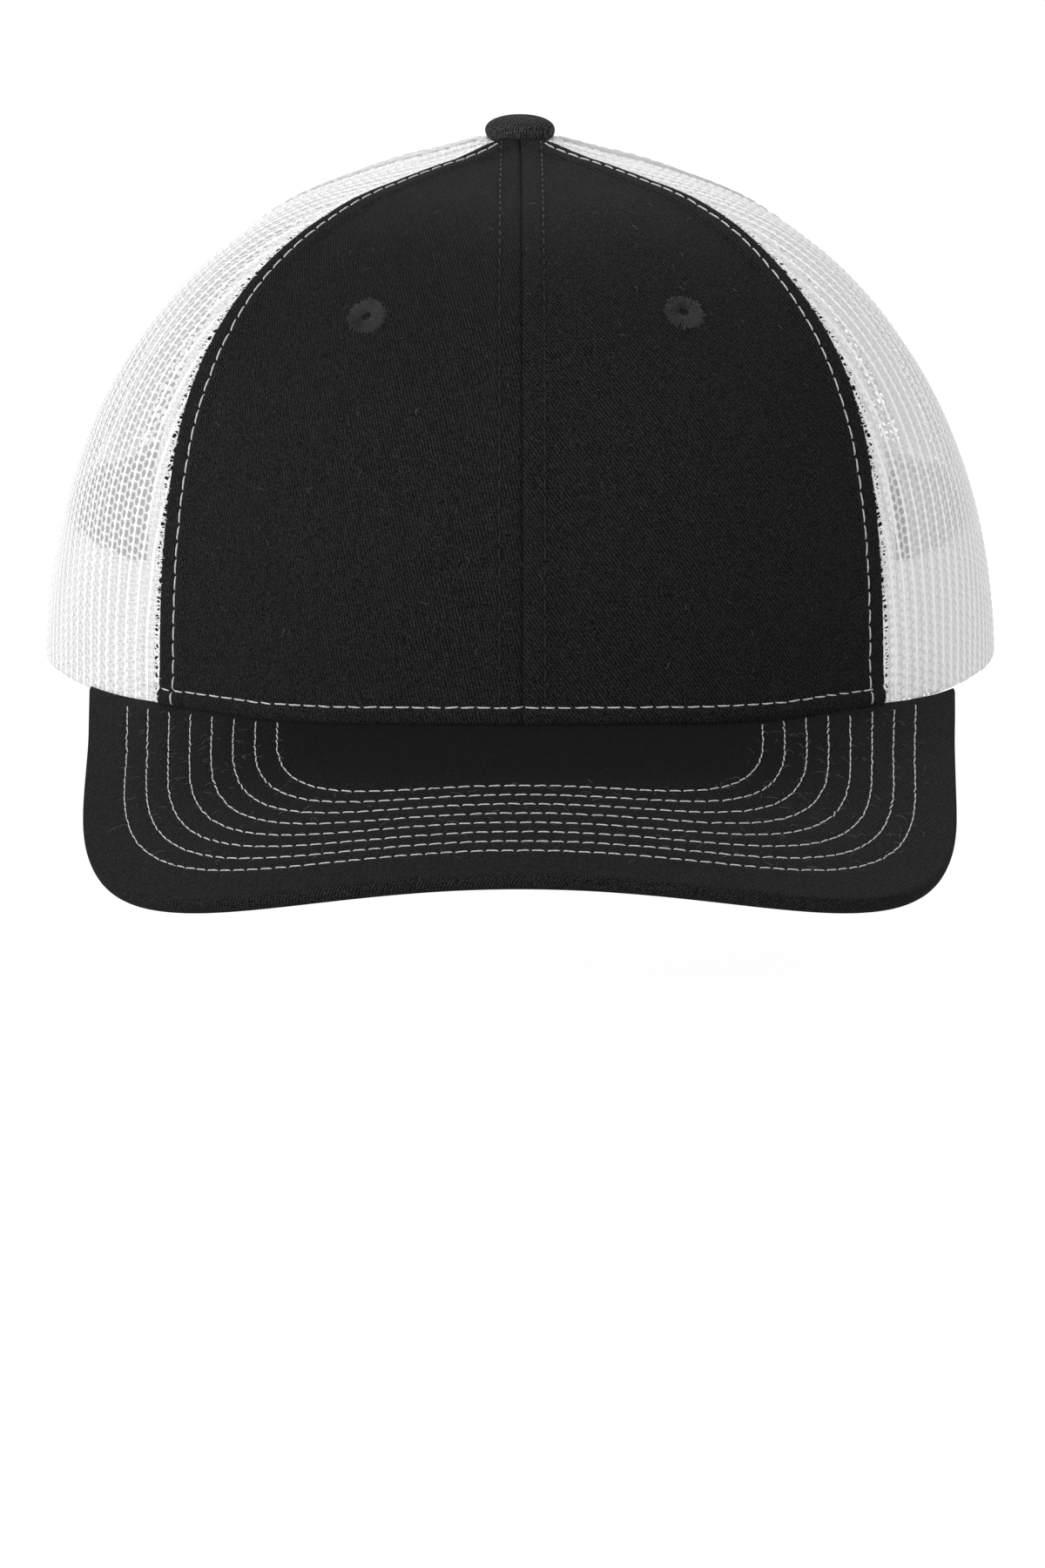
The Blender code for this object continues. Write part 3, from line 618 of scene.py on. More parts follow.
def woven(name, colour, pitch=0.46, rough=0.9, diagonal=True, bump=0.00012):
    """Plain or twill woven cotton."""
    s = Shader(name)
    warp = s.wave(s.uv(), pitch, distortion=0.5)
    weft = s.wave(s.uv(), pitch, distortion=0.5, direction="Y")
    if diagonal:
        s.tree.nodes.remove(warp.node)
        warp = s.wave(s.uv(45), pitch * 1.3, distortion=0.8, detail=2.0, detail_scale=2.0)
    weft = s.math("MULTIPLY", weft, 0.25 if diagonal else 0.5)
    weave = s.math("ADD", s.math("MULTIPLY", warp, 0.6), weft)
    height = s.math("ADD", weave, s.math("MULTIPLY", s.noise(1500, detail=3.0), 0.4))
    base = s.mix(scaled(colour, 0.82), colour, height)
    s.put(
        Base_Color=s.mix(base, scaled(colour, 0.93), s.noise(60)),
        Roughness=rough, Normal=s.bump(height, bump, 0.6),
        Sheen_Weight=0.12, Sheen_Roughness=0.5, Specular_IOR_Level=0.2,
    )


def plastic(name, colour, rough):
    """Moulded plastic with a fine satin grain and faint flow marks."""
    s = Shader(name)
    grain, flow = s.noise(5200), s.noise(130, detail=3.0)
    height = s.math("ADD", s.math("MULTIPLY", grain, 0.25), flow)
    s.put(
        Base_Color=s.mix(colour, scaled(colour, 0.94), flow),
        Roughness=s.math("MULTIPLY_ADD", flow, 0.16, rough - 0.06),
        Normal=s.bump(height, 0.00004, 0.5),
    )


def metal(name):
    s = Shader(name)
    brushed = s.noise(900, detail=4.0)
    s.put(
        Base_Color=s.mix((0.55, 0.55, 0.55), (0.7, 0.7, 0.69), brushed), Metallic=1.0,
        Roughness=s.math("MULTIPLY_ADD", brushed, 0.2, 0.25),
        Normal=s.bump(brushed, 0.00003, 0.4),
    )


twill("twill_left", lean=-13, pitch=0.62, gain=0.92)
twill("twill_right", lean=-35, pitch=0.62, gain=0.9)
twill("twill_visor", lean=-28, pitch=0.58, gain=0.88, relief=0.5, painted_crown_shadow=True)
twill("twill_under", lean=28, pitch=0.58, gain=0.95, relief=0.5)
# painted light: the button's twill is made more than twice as light as the other twill, standing in
# for the light falling on its domed top
twill("twill_button_painted_light", lean=20, pitch=0.5, gain=2.2, relief=0.45)
yarn("mesh_yarn", (0.86, 0.862, 0.866), rough=0.55, sheen=0.15)
# painted shade: the net is the same white yarn as the pillars, made darker and given less glow to
# stand in for the shade it lies in, deeper than the pillars
yarn("mesh_net_yarn_shaded", (0.74, 0.742, 0.747), rough=0.6)
yarn("lint_fibre", (0.13, 0.13, 0.13), rough=0.8, bump=0.00003)
yarn("white_thread", (0.80, 0.80, 0.79), rough=0.55, pitch=0.3)
yarn("black_thread", (0.008, 0.008, 0.0085), rough=0.6, sheen=0.05, pitch=0.3)
yarn("eyelet_thread", (0.026, 0.026, 0.027), rough=0.7, bump=0.00008, sheen=0.15, varied=True,
     pitch=0.3)
woven("sweatband_cotton_outside", (0.84, 0.84, 0.835), pitch=0.5, bump=0.00014)
woven("sweatband_cotton", (0.84, 0.84, 0.835), pitch=0.5, bump=0.00014)
woven("seam_tape_cotton", (0.80, 0.80, 0.795))
woven("binding_cotton", (0.83, 0.83, 0.825), rough=0.85)
woven("buckram", (0.70, 0.70, 0.68), pitch=0.95, diagonal=False, bump=0.00025)
woven("label_satin", (0.85, 0.85, 0.85), pitch=0.3, rough=0.5, diagonal=False, bump=0.00004)
plastic("snap_plastic", (0.82, 0.82, 0.81), rough=0.36)
plastic("visor_board_plastic", (0.55, 0.55, 0.53), rough=0.5)
metal("plated_metal")

# white cloth scatters light through to its shaded side; a little glow stands for that
for name, glow in (
    ("mesh_yarn", 0.2),
    ("mesh_net_yarn_shaded", 0.14),
    ("sweatband_cotton_outside", 0.18),
    ("sweatband_cotton", 0.12),
    ("seam_tape_cotton", 0.26),
):
    surface = MATERIALS[name].node_tree.nodes["Principled BSDF"]
    surface.inputs["Emission Color"].default_value = (1, 1, 1, 1)
    surface.inputs["Emission Strength"].default_value = glow


# ---------------------------------------------------------------- how pieces hold on
def in_frame(point):
    return Vector(((SHIFT + np.array(point)) * 0.001).tolist())


def stand_in(replaces):
    if replaces:
        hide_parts(replaces)


def on_crown(name, body, mat, replaces=None, slot=None, **inner):
    """Crown cloth, fixed where it is made; it hides the part it replaces."""
    part = add(name, body, mat, **inner)
    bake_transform(part)
    stand_in(replaces)


def on_bill(name, body, mat, replaces=None):
    part = add(name, body, mat)
    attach(part, "bill")
    stand_in(replaces)


# ---------------------------------------------------------------- front panels
# distances of the close columns from a seam, and of the close rows from the visor's seat
CLUSTER = np.array([0, 0.12, 0.3, 0.5, 0.8, 1.2, 1.8, 2.5, 3.1, 3.5, 3.8, 4.1, 4.5, 5.1, 5.8, 6.6])
HEM = np.array([-1.6, -1.2, -0.7, -0.25, 0.1, 0.5, 0.9, 1.3, 1.7, 2.1, 2.5, 2.85, 3.1, 3.4, 3.7,
                4.1, 4.7, 5.5, 6.5])
PANEL_MIDDLE = radians(23)
PANEL_ROWS, PANEL_COLUMNS = 120, 62  # beyond the close ones


def arc_to(phi, seam, rise):
    """Distance along the cloth from a point to a seam's meridian."""
    return np.abs(np.abs(phi) - seam) * per_radian((np.abs(phi) + seam) / 2) * share_at(phi, rise)


def front_relief(phi, rise):
    """Relief of the front panels: seams, turned-under allowances, hem roll and stitch dips."""
    centre, seam = arc_to(phi, 0.0, rise), arc_to(phi, FRONT_SEAM, rise)
    hem = rise - seat_rise(phi)
    out = wobble(phi, rise)
    out = out - 0.75 * np.exp(-centre / 0.42) + 0.26 * (1 - ease((centre - 4.9) / 1.3))
    out = out - 0.13 * bell(centre - 4.25, 0.4)
    out = out - 1.0 * np.exp(-seam / 0.38) + 0.36 * (1 - ease((seam - 6.0) / 1.4))
    out = out - 0.22 * bell(seam - 4.6 + 1.6 * ease((rise - 60) / 50), 0.5)
    roll = 0.62 * np.sqrt(np.maximum(0, 1 - ((hem - 1.45) / 1.95) ** 2))
    out = out + np.where(hem < 3.2, roll, 0) + 0.16 * ease(hem / 3.2) * (1 - ease((hem - 5.2) / 2))
    return out - 0.26 * bell(hem - 3.3, 0.45) - 0.9 * np.exp(-np.maximum(hem + 0.2, 0) / 0.3)


def front_line(phi, rise):
    return crown_line(phi, rise, front_relief(np.abs(phi), rise))


def front_panel(side, sign):
    top = rise_at_radius(PANEL_MIDDLE, 2.6)
    even_rows = np.linspace(0, 1, PANEL_ROWS + 1)[1:] * (top - HEM[-1])
    levels = np.concatenate([HEM, HEM[-1] + even_rows])
    rim_width = FRONT_SEAM * float(per_radian(np.linspace(0, FRONT_SEAM, 50)).mean())
    phi = np.zeros((2 * len(CLUSTER) + PANEL_COLUMNS, len(levels)))
    # the width of the panel at each level sets where its columns stand
    for j, level in enumerate(levels):
        width = float(share_at(PANEL_MIDDLE, min(max(level, 0) + 2.0, top))) * rim_width
        close = CLUSTER * min(1.0, width / (2 * CLUSTER[-1] + 3.0))
        spacing = (width - 2 * close[-1]) / (PANEL_COLUMNS + 1)
        middle = close[-1] + spacing * np.arange(1, PANEL_COLUMNS + 1)
        phi[:, j] = np.concatenate([close, middle, width - close[::-1]]) / width * FRONT_SEAM
    fade = ease((levels - HEM[-1]) / 60.0)
    stretch = full_rise(phi) / full_rise(PANEL_MIDDLE) * fade + (1 - fade)
    rise = levels * stretch + seat_rise(phi) * (1 - fade)
    out = front_relief(phi, rise)
    outer = crown(phi * sign, rise, out)
    inner = crown(phi * sign, rise, np.minimum(out, 0.5) - 0.7)
    uv = pair(phi * local_radius(phi, rise) * sign, rise)
    body = sheet(outer[::sign], inner[::sign], uv[::sign])
    on_crown(f"front_panel_twill_{side}", body, f"twill_{side}", f"front_panel_{side}")


for side, sign in SIDES:
    front_panel(side, sign)

# white topstitching beside the front seams and along the hem, black beside the centre seam
for side, sign in SIDES:
    low = float(seat_rise(FRONT_SEAM))
    rise = np.linspace(low + 0.4, rise_at_radius(FRONT_SEAM, 8.0), 600)
    away = 4.6 - 1.6 * ease((rise - 60) / 50)
    phi = FRONT_SEAM - away / local_radius(FRONT_SEAM, rise)
    row = stitches(front_line(phi * sign, rise), 3.22, 3.02, radius=0.165, lean=0.07)
    on_crown(f"seam_topstitch_{side}", row, "white_thread", f"seam_thread_{side}")

    rise = np.linspace(3.5, rise_at_radius(0.1, 7.5), 600)
    phi = 4.25 / local_radius(0.0, rise)
    row = stitches(front_line(phi * sign, rise), 3.3, 2.6, radius=0.17, jitter=0.08)
    on_crown(f"centre_topstitch_{side}", row, "black_thread", slot=f"front_panel_{side}")

phi = np.linspace(-FRONT_SEAM + 0.012, FRONT_SEAM - 0.012, 900)
row = stitches(front_line(phi, seat_rise(phi) + 3.3), 3.15, 3.0, radius=0.16, lean=0.06)
on_crown("hem_topstitch", row, "white_thread", "front_hem_thread")

# ---------------------------------------------------------------- embroidered eyelets
THROAT = np.array([(1.75, 0.1), (0.95, 0.0), (0.8, -0.8), (0.8, -2.3), (1.75, -2.3), (1.75, -0.8)])


def eyelet(side, centre_phi, centre_height):
    """Radial threads round a hole, and the hole's dark throat (radius, height)."""
    centre_rise = float(rise_at_height(centre_phi, centre_height))
    scale = float(local_radius(centre_phi, centre_rise))

    def spot(angle, radius, lift):
        phi = centre_phi + radius * np.cos(angle) / scale
        rise = centre_rise + radius * np.sin(angle)
        return crown(phi, rise, front_relief(np.abs(phi), rise) + lift)

    count = 300
    odd = np.arange(count) % 2
    start = 2 * pi * (np.arange(count) + rng.normal(0, 0.5, count)) / count * 2
    share = np.linspace(0, 1, 7)
    reach = 4.1 + rng.normal(0, 0.3, count)
    inside = np.where(odd, 0.75 + rng.uniform(-0.25, 0.25, count), rng.uniform(1.2, 2.6, count))
    radius = (inside[:, None] + (reach - inside)[:, None] * share)[..., None]
    lift = 0.5 * np.sin(pi * np.clip(share * 0.92 + 0.06, 0, 1)) ** 0.6
    lift = lift - np.where(share > 0.93, 0.45, 0) - np.where(share < 0.05, 0.9, 0)
    share = share[:, None]
    around = circle(4)
    wide = (0.06 + 0.07 * share) * np.cos(around)
    angle = start[:, None, None] + wide / np.maximum(radius, 0.6) + 0.10 * share
    angle = angle + rng.normal(0, 0.2, count)[:, None, None] * share
    lift = lift[:, None] - 0.14 + rng.normal(0, 0.06, count)[:, None, None]
    verts, quads = tubes(spot(angle, radius, lift + 0.08 * np.sin(around + pi / 4)))
    threads = verts, quads, pair(radius, wide * 4)

    around, rings = circle(24), len(THROAT)
    throat = spot(around, THROAT[:, :1], THROAT[:, 1:]).reshape(-1, 3)
    uv = pair(around, np.arange(rings)[:, None])
    body = join([threads, (throat, ring_quads(rings, 24, closed=True), uv)])
    on_crown(f"eyelet_embroidery_{side}", body, "eyelet_thread", f"eyelet_{side}")


eyelet("left", -radians(23.5), 76.3)
eyelet("right", radians(24.8), 76.9)

# ---------------------------------------------------------------- knitted mesh panels
WALE, COURSE = 3.8, 1.78  # from pillar to pillar, and from loop to loop
ARCH_HALF, ARCH_HEIGHT = 44.0, 54.0  # opening at the back


def arch_height(phi):
    share = np.abs(HALF_WIDTH * np.sin(phi)) / ARCH_HALF
    height = ARCH_HEIGHT * np.sqrt(np.maximum(0, 1 - np.minimum(share, 1) ** 2))
    return np.where((np.cos(phi) < 0) & (share < 1), height, -9.0)


class Panel:
    """A mesh panel as a flat pattern: across from its middle, rise from the rim."""

    def __init__(self, first, last, sign):
        self.middle, self.half, self.sign = (first + last) / 2, (last - first) / 2, sign
        self.rise = float(full_rise(self.middle))

    def width(self, rise):
        return self.half * local_radius(self.middle, np.minimum(rise, self.rise))

    def angle(self, across, rise):
        share = np.maximum(share_at(self.middle, rise), 0.02)
        return self.middle + across / (float(per_radian(self.middle)) * share)

    def point(self, across, rise, out):
        phi = self.angle(across, rise)
        rise = np.where(rise > 0, rise * full_rise(phi) / self.rise, rise)
        return crown(phi * self.sign, rise, out + wobble(phi, rise, 0.4))

    def clear(self, across, rise, margin):
        """Whether points stand clear of the opening at the back."""
        phi = self.angle(across, rise)
        return height_at(phi, rise * full_rise(phi) / self.rise) > arch_height(phi) + margin

    def cover(self, across, rise):
        """The back panels are knitted closer, most of all beside the side seam."""
        phi = np.abs(self.angle(across, rise))
        if self.middle < SIDE_SEAM:
            return 1.0 + 0 * phi
        closer = 1.22 + 0.36 * ease((radians(146) - phi) / radians(16))
        return np.where(phi < SIDE_SEAM + 0.01, 1.0, closer)


def knit(panel, seed):
    """Pillars of chained loops, and the net: thin wales between them and threads across."""
    local = np.random.default_rng(seed)
    top = rise_at_radius(panel.middle, 3.0)
    levels = np.linspace(0, top, 700)
    widths = panel.width(levels)
    pillars, net = [], []
    count = int(panel.width(0.0) / (WALE / 2)) + 1
    for i in range(-count, count + 1):
        across = i * WALE / 2
        if abs(across) > widths[0] - 0.3:
            continue
        highest = float(np.interp(-abs(across), -widths, levels))
        shift = 0.5 * COURSE * (i // 2)
        step = COURSE / 4
        rise = np.arange(0.4 + (shift - 0.4) % step, highest, step)
        rise = rise[panel.clear(across, rise, 0.6)]
        if len(rise) < 3:
            continue
        phase = (rise - shift) / COURSE * 2 * pi
        middle = across + (0.10 * np.sin(rise * 0.37 + i) + local.normal(0, 0.025, len(rise)))
        if i % 2 == 0:
            around = circle(6)
            raised = 1 - ((1 - np.cos(phase)) / 2) ** 2.5
            wide, thick = 0.30 + 0.22 * raised, 0.11 + 0.06 * raised
            out = -0.64 + 0.14 * raised
        else:
            around = circle(4, 0.5)
            wide = 0.50 * panel.cover(across, rise) + 0.03 * np.cos(2 * phase)
            thick = np.full(len(rise), 0.12)
            out = -0.66 + 0.02 * np.cos(phase)
            middle = middle - 0.27 * np.cos(phase)
        if rise[0] < 1.0:
            # the knit is turned under at the rim and runs up inside
            bend = np.linspace(0, pi, 7)
            rise = np.concatenate([[4.2, 2.2], 0.15 - 0.75 * np.sin(bend), rise])
            out = np.concatenate([[-2.0, -2.0], -1.95 + 0.7 * (1 - np.cos(bend)), out])
            middle, wide, thick = (
                np.concatenate([np.full(9, a[0]), a]) for a in (middle, wide, thick)
            )
        ring_across = middle[:, None] + wide[:, None] * np.cos(around)
        ring_out = out[:, None] + thick[:, None] * np.sin(around)
        ring_rise = rise[:, None] + 0 * ring_across
        body = tubes(panel.point(ring_across, ring_rise, ring_out)[None])
        (net if i % 2 else pillars).append((*body, pair(ring_rise, ring_across)))

    # net threads, from each pillar out to the thin wales on both sides
    starts = []
    for i in range(-count - 1, count + 2):
        if i % 2:
            continue
        across = i * WALE / 2
        shift = 0.5 * COURSE * (i // 2)
        last = int((top + abs(shift)) / COURSE) + 2
        rises = np.arange(-int(abs(shift) / COURSE) - 2, last) * COURSE + shift
        for side in (-1, 1):
            ends = np.full(len(rises), across), np.full(len(rises), across + side * WALE / 2)
            starts.append(np.stack([*ends, rises]))
    first, last, rise = np.concatenate(starts, axis=1)
    rise = rise + local.normal(0, 0.05, len(rise))
    limit = panel.width(np.clip(rise, 0, top))
    first, last = np.clip(first, -limit, limit), np.clip(last, -limit, limit)
    keep = (np.abs(first - last) > 0.35) & (rise < top) & (rise > -0.1)
    keep &= panel.clear((first + last) / 2, rise, 0.8)
    first, last, rise = first[keep], last[keep], rise[keep]
    share = np.linspace(0, 1, 5)
    around = circle(4, 0.5)
    wide = np.array([0.62, 0.44, 0.23, 0.36, 0.55])
    wide = wide * panel.cover((first + last) / 2, rise)[:, None]
    ring_across = (first[:, None] + (last - first)[:, None] * share)[..., None] + 0 * around
    middle = rise[:, None] - 0.10 * share
    ring_rise = middle[..., None] + wide[..., None] * np.cos(around)
    ring_out = (-0.62 + 0.03 * np.cos(2 * pi * share))[:, None] + 0.10 * np.sin(around)
    body = tubes(panel.point(ring_across, ring_rise, ring_out))
    net.append((*body, pair(ring_across, ring_rise)))
    return join(pillars), join(net)


for side, sign in SIDES:
    for which, first, last, seed in (("side", FRONT_SEAM, SIDE_SEAM, 11), ("back", SIDE_SEAM, pi, 16)):
        pillars, net = knit(Panel(first, last, sign), seed + sign)
        node = f"mesh_{which}_panel_{side}"
        on_crown(f"mesh_{which}_pillars_{side}", pillars, "mesh_yarn", node)
        on_crown(f"mesh_{which}_net_{side}", net, "mesh_net_yarn_shaded", slot=node)

# ---------------------------------------------------------------- visor
OUTLINE_STEPS, INWARD_STEPS = 320, 88


def visor_layer(name, top, mat, replaces):
    """Cloth of one face of the visor; the top one wraps round its edge."""
    outline = visor_curve(VISOR_HALF, REACH, WING, OUTLINE_STEPS)
    x = (VISOR_HALF - 0.5) * np.sin(np.linspace(-pi / 2, pi / 2, 800))
    inner = even(pair(x, along_rim(x, -0.6)), OUTLINE_STEPS)[:, None]
    delta = outline[:, None] - inner
    dist = np.linalg.norm(delta, axis=-1)
    edge = THICK / 2
    angles = np.radians(np.arange(90, -79, -14) if top else np.arange(90, 69, -10))
    shift = 0.0 if top else 1.35
    height = np.sign(np.sin(angles)) * np.abs(np.sin(angles)) ** 0.85
    inset = edge * (1 - np.cos(angles) ** 0.85) + shift
    drop = edge * (1 - height) * (1.0 if top else 0.5)
    wraps = len(angles) - 1
    share = np.linspace(0, 1, INWARD_STEPS)
    part = np.concatenate([share * (1 - inset[0] / dist), 1 - inset[1:] / dist], 1)
    down = np.concatenate([np.zeros(INWARD_STEPS), drop[1:]])
    wrap = np.concatenate([np.zeros(INWARD_STEPS - 1), run_along(pair(inset, drop))])
    x, ahead = np.moveaxis(inner + delta * part[..., None], -1, 0)
    puff = visor_puff(x, ahead) * ease((1 - part) * dist / 4.0) * ease(part * dist / 3)
    lining_end = np.repeat(1 - (2.2 + shift) / dist, wraps, 1)
    lining = np.concatenate([share * (1 - (2.3 + shift) / dist), lining_end], 1)
    lining_x, lining_ahead = np.moveaxis(inner + delta * lining[..., None], -1, 0)
    deep = np.linspace(0.65, THICK - 0.65 if top else 0.9, wraps)
    lining_down = np.concatenate([np.full(INWARD_STEPS, 0.6), deep])
    if top:
        down = down - puff
    else:
        down, lining_down = THICK - down + puff * 0.8, THICK - lining_down
    uv = inner + delta * part[..., None].clip(0, 1) + delta / dist[..., None] * wrap[:, None]
    turn = 1 if top else -1
    outside = visor(x, ahead, down)[::turn]
    inside = visor(lining_x, lining_ahead, lining_down)[::turn]
    on_bill(name, sheet(outside, inside, uv[::turn]), mat, replaces)


visor_layer("visor_top_twill", True, "twill_visor", "visor_top_cloth")
visor_layer("visor_under_twill", False, "twill_under", "visor_under_cloth")

for row in range(ROWS):
    x, ahead = row_line(row, 0.0, 700).T
    puff = visor_puff(x, ahead)
    above = visor(x, ahead, -puff), visor_up(x)
    below = visor(x, ahead, THICK + 0.8 * puff), -visor_up(x)
    body = join([
        stitches(line, 2.82, 2.6, radius=0.135, start=0.3 + 0.37 * row, lean=0.075)
        for line in (above, below)
    ])
    on_bill(f"visor_stitches_{row + 1}", body, "white_thread", f"visor_stitch_row_{row + 1}")


# ---------------------------------------------------------------- lint and stray fibres
def fibres(base, normal, along, shortest, longest):
    """Fine curved fibres lying on the cloth, each from its base point."""
    count, points = len(base), 6
    share = np.linspace(0, 1, points)
    along = unit(along)
    side = np.cross(normal, along)[:, None]
    turn = rng.uniform(0, 2 * pi, count)
    bend = rng.normal(0, 0.9, count)
    step = rng.uniform(shortest, longest, count)[:, None] / (points - 1)
    angle = turn[:, None] + bend[:, None] * share
    ahead, aside = np.cumsum(np.cos(angle) * step, 1), np.cumsum(np.sin(angle) * step, 1)
    lift = 0.05 + rng.uniform(0, 0.35, count)[:, None] * np.sin(pi * share)
    line = base[:, None] + along[:, None] * ahead[..., None] + side * aside[..., None]
    line = line + normal[:, None] * lift[..., None]
    around = circle(4, 0.5)[:, None]
    radius = rng.uniform(0.016, 0.034, count)[:, None, None, None]
    tangent = unit(np.gradient(line, axis=1))
    across = unit(np.cross(tangent, normal[:, None]))
    over = np.cross(tangent, across)[:, :, None]
    ring = radius * (across[:, :, None] * np.cos(around) + over * np.sin(around))
    verts, quads = tubes(line[:, :, None] + ring)
    return verts, quads, np.zeros((len(verts), 2))


def visor_lint(count):
    row = rng.integers(0, ROWS, count)
    spread = rng.normal(0, 0.9, count)
    lines = np.array([row_line(r, 0.5, 500) for r in range(ROWS)])
    place = rng.integers(2, 499, count)
    x, ahead = (lines[row, place] + pair(spread, rng.normal(0, 0.9, count))).T
    normal = visor_up(x)
    base = visor(x, ahead, -visor_puff(x, ahead))
    body = fibres(base, normal, np.cross(normal, FORWARD), 0.8, 2.6)
    on_bill("visor_lint", body, "lint_fibre")


def front_lint(count):
    phi = rng.uniform(-FRONT_SEAM + 0.07, FRONT_SEAM - 0.07, count)
    rise = rng.uniform(8, 120, count)
    base, normal = front_line(phi, rise)
    normal = unit(normal)
    along = crown(phi + 0.001, rise, front_relief(np.abs(phi), rise)) - base
    along -= normal * np.einsum("ij,ij->i", along, normal)[:, None]
    body = fibres(base, normal, along, 0.5, 1.8)
    on_crown("front_lint", body, "lint_fibre", slot="front_panel_left")


visor_lint(420)
front_lint(90)

# ---------------------------------------------------------------- button
BUTTON_BASE = 100.8
# (radius, height above the base) from the underside's middle out to the domed top
BUTTON_UNDER = ((0.0, 0.9), (3.6, 0.2), (4.2, -0.5), (5.2, -0.35), (5.95, 0.05), (6.5, 0.6),
                (6.78, 1.2))
dome = [(6.85 * cos(a) ** 0.92, 1.75 + 3.0 * sin(a) ** 0.9)
        for a in (pi / 2 * (1 - k / 12) for k in range(12, 0, -1))]
profile = [(r, BUTTON_BASE + h) for r, h in (*BUTTON_UNDER, *dome, (0.0, 4.75))]
verts, quads, uv = turned(profile, 64)
# gathers of the cloth round its lower edge
angle = np.arctan2(verts[:, 1], verts[:, 0])
low = np.clip((BUTTON_BASE + 1.6 - verts[:, 2]) / 1.6, 0, 1)
gathers = 0.018 * low * np.sin(11 * angle + 0.7) + 0.010 * low * np.sin(23 * angle)
verts[:, :2] *= (1 + gathers)[:, None]
on_crown("button_cloth", (verts, quads, uv), "twill_button_painted_light", "button_cover")


# ---------------------------------------------------------------- inside: buckram and tapes
def crown_sheet(phi, rise, out, thick):
    """Closed sheet of cloth from grids of phi, rise and out; phi must increase."""
    uv = pair(phi * 97.0 * np.maximum(share_at(phi, rise), 0.05), rise)
    return sheet(crown(phi, rise, out), crown(phi, rise, out - thick), uv)


for side, sign in SIDES:
    phi = np.sort(np.linspace(0.012, FRONT_SEAM - 0.012, 60) * sign)[:, None]
    top = np.array([rise_at_radius(p, 9.0) for p in phi[:, 0]])[:, None]
    rise = 1.0 + (top - 1.0) * np.linspace(0, 1, 110)
    phi = phi + 0 * rise
    body = crown_sheet(phi, rise, -1.15 + wobble(np.abs(phi), rise), 0.75)
    on_crown(f"buckram_cloth_{side}", body, "buckram", f"buckram_{side}")


def tape(place, angle, low):
    """Tape over a seam inside, with a row of stitches near each edge."""
    rise = low + (rise_at_radius(abs(angle), 10.5) - low) * np.linspace(0, 1, 120)
    across = np.linspace(-1, 1, 15)[:, None]
    radius = local_radius(angle, rise)
    half = np.minimum(6.5, 0.42 * radius)
    phi = angle + across * (half / radius)
    rises = rise + 0 * phi
    # where the tape lies closer to the crown, beside the seam's allowances
    near = 0 * across
    if abs(abs(angle) - FRONT_SEAM) < 0.01:
        near = ease((across * np.sign(angle) - 0.02) / 0.16)
    elif abs(abs(angle) - SIDE_SEAM) < 0.01:
        near = ease((np.abs(across) - 0.12) / 0.16)
    out = -2.3 + 0.98 * near - 0.12 * np.cos(across * pi * 2) * (1 - near)
    parts = [crown_sheet(phi, rises, out + wobble(np.abs(phi), rises), 0.5 + 0.6 * near)]
    for edge in (-0.78, 0.78):
        phi = angle + edge * half / radius
        line = crown_line(phi, rise, -2.82 + wobble(np.abs(phi), rise), step=-1)
        parts.append(stitches(line, 3.0, 2.4, radius=0.16))
    on_crown(f"tape_{place}", join(parts), "seam_tape_cotton", f"seam_tape_{place}")


tape("front_centre", 0.0, 3)
tape("front_left", -FRONT_SEAM, 3)
tape("front_right", FRONT_SEAM, 3)
tape("side_left", -SIDE_SEAM, 3)
tape("side_right", SIDE_SEAM, 3)
tape("back_centre", pi, 63.0)

# ---------------------------------------------------------------- sweatband
BAND = 35.0  # its pattern's height; level runs from 0 at the rim to this
BAND_ROWS = (2.7, 32.2)  # levels of its stitched rows


def rim_angle(along):
    """Angle of the point some mm round the rim from the back centre, towards +X."""
    angle = np.linspace(0, pi / 2, 2000)
    run = run_along(pair(*rim(pi - angle)))
    return pi - np.sign(along) * np.interp(np.abs(along), run, angle)


def band_depth(phi):
    """Depth of the band's outer face: against the mesh, but behind tapes, buckram and tabs."""
    angle = np.abs(phi)
    near = ease(((angle - FRONT_SEAM) * 97 - 7.2) / 3.5)
    near = near * ease((np.abs(angle - SIDE_SEAM) * 97 - 7.2) / 3.5)
    return 3.75 - 2.38 * near * ease(((pi - angle) * 96 - 64) / 6)


def band_inner(phi):
    return -np.maximum(band_depth(phi) + 0.7, 2.9)


def band_rise(phi, level):
    angles = (0, 44, 52, 66, 82, 112, 140)
    heights = (29, 28, 26.5, 28, 30.5, 34.2, 35)
    return level * np.interp(np.degrees(np.abs(phi)), angles, heights) / BAND


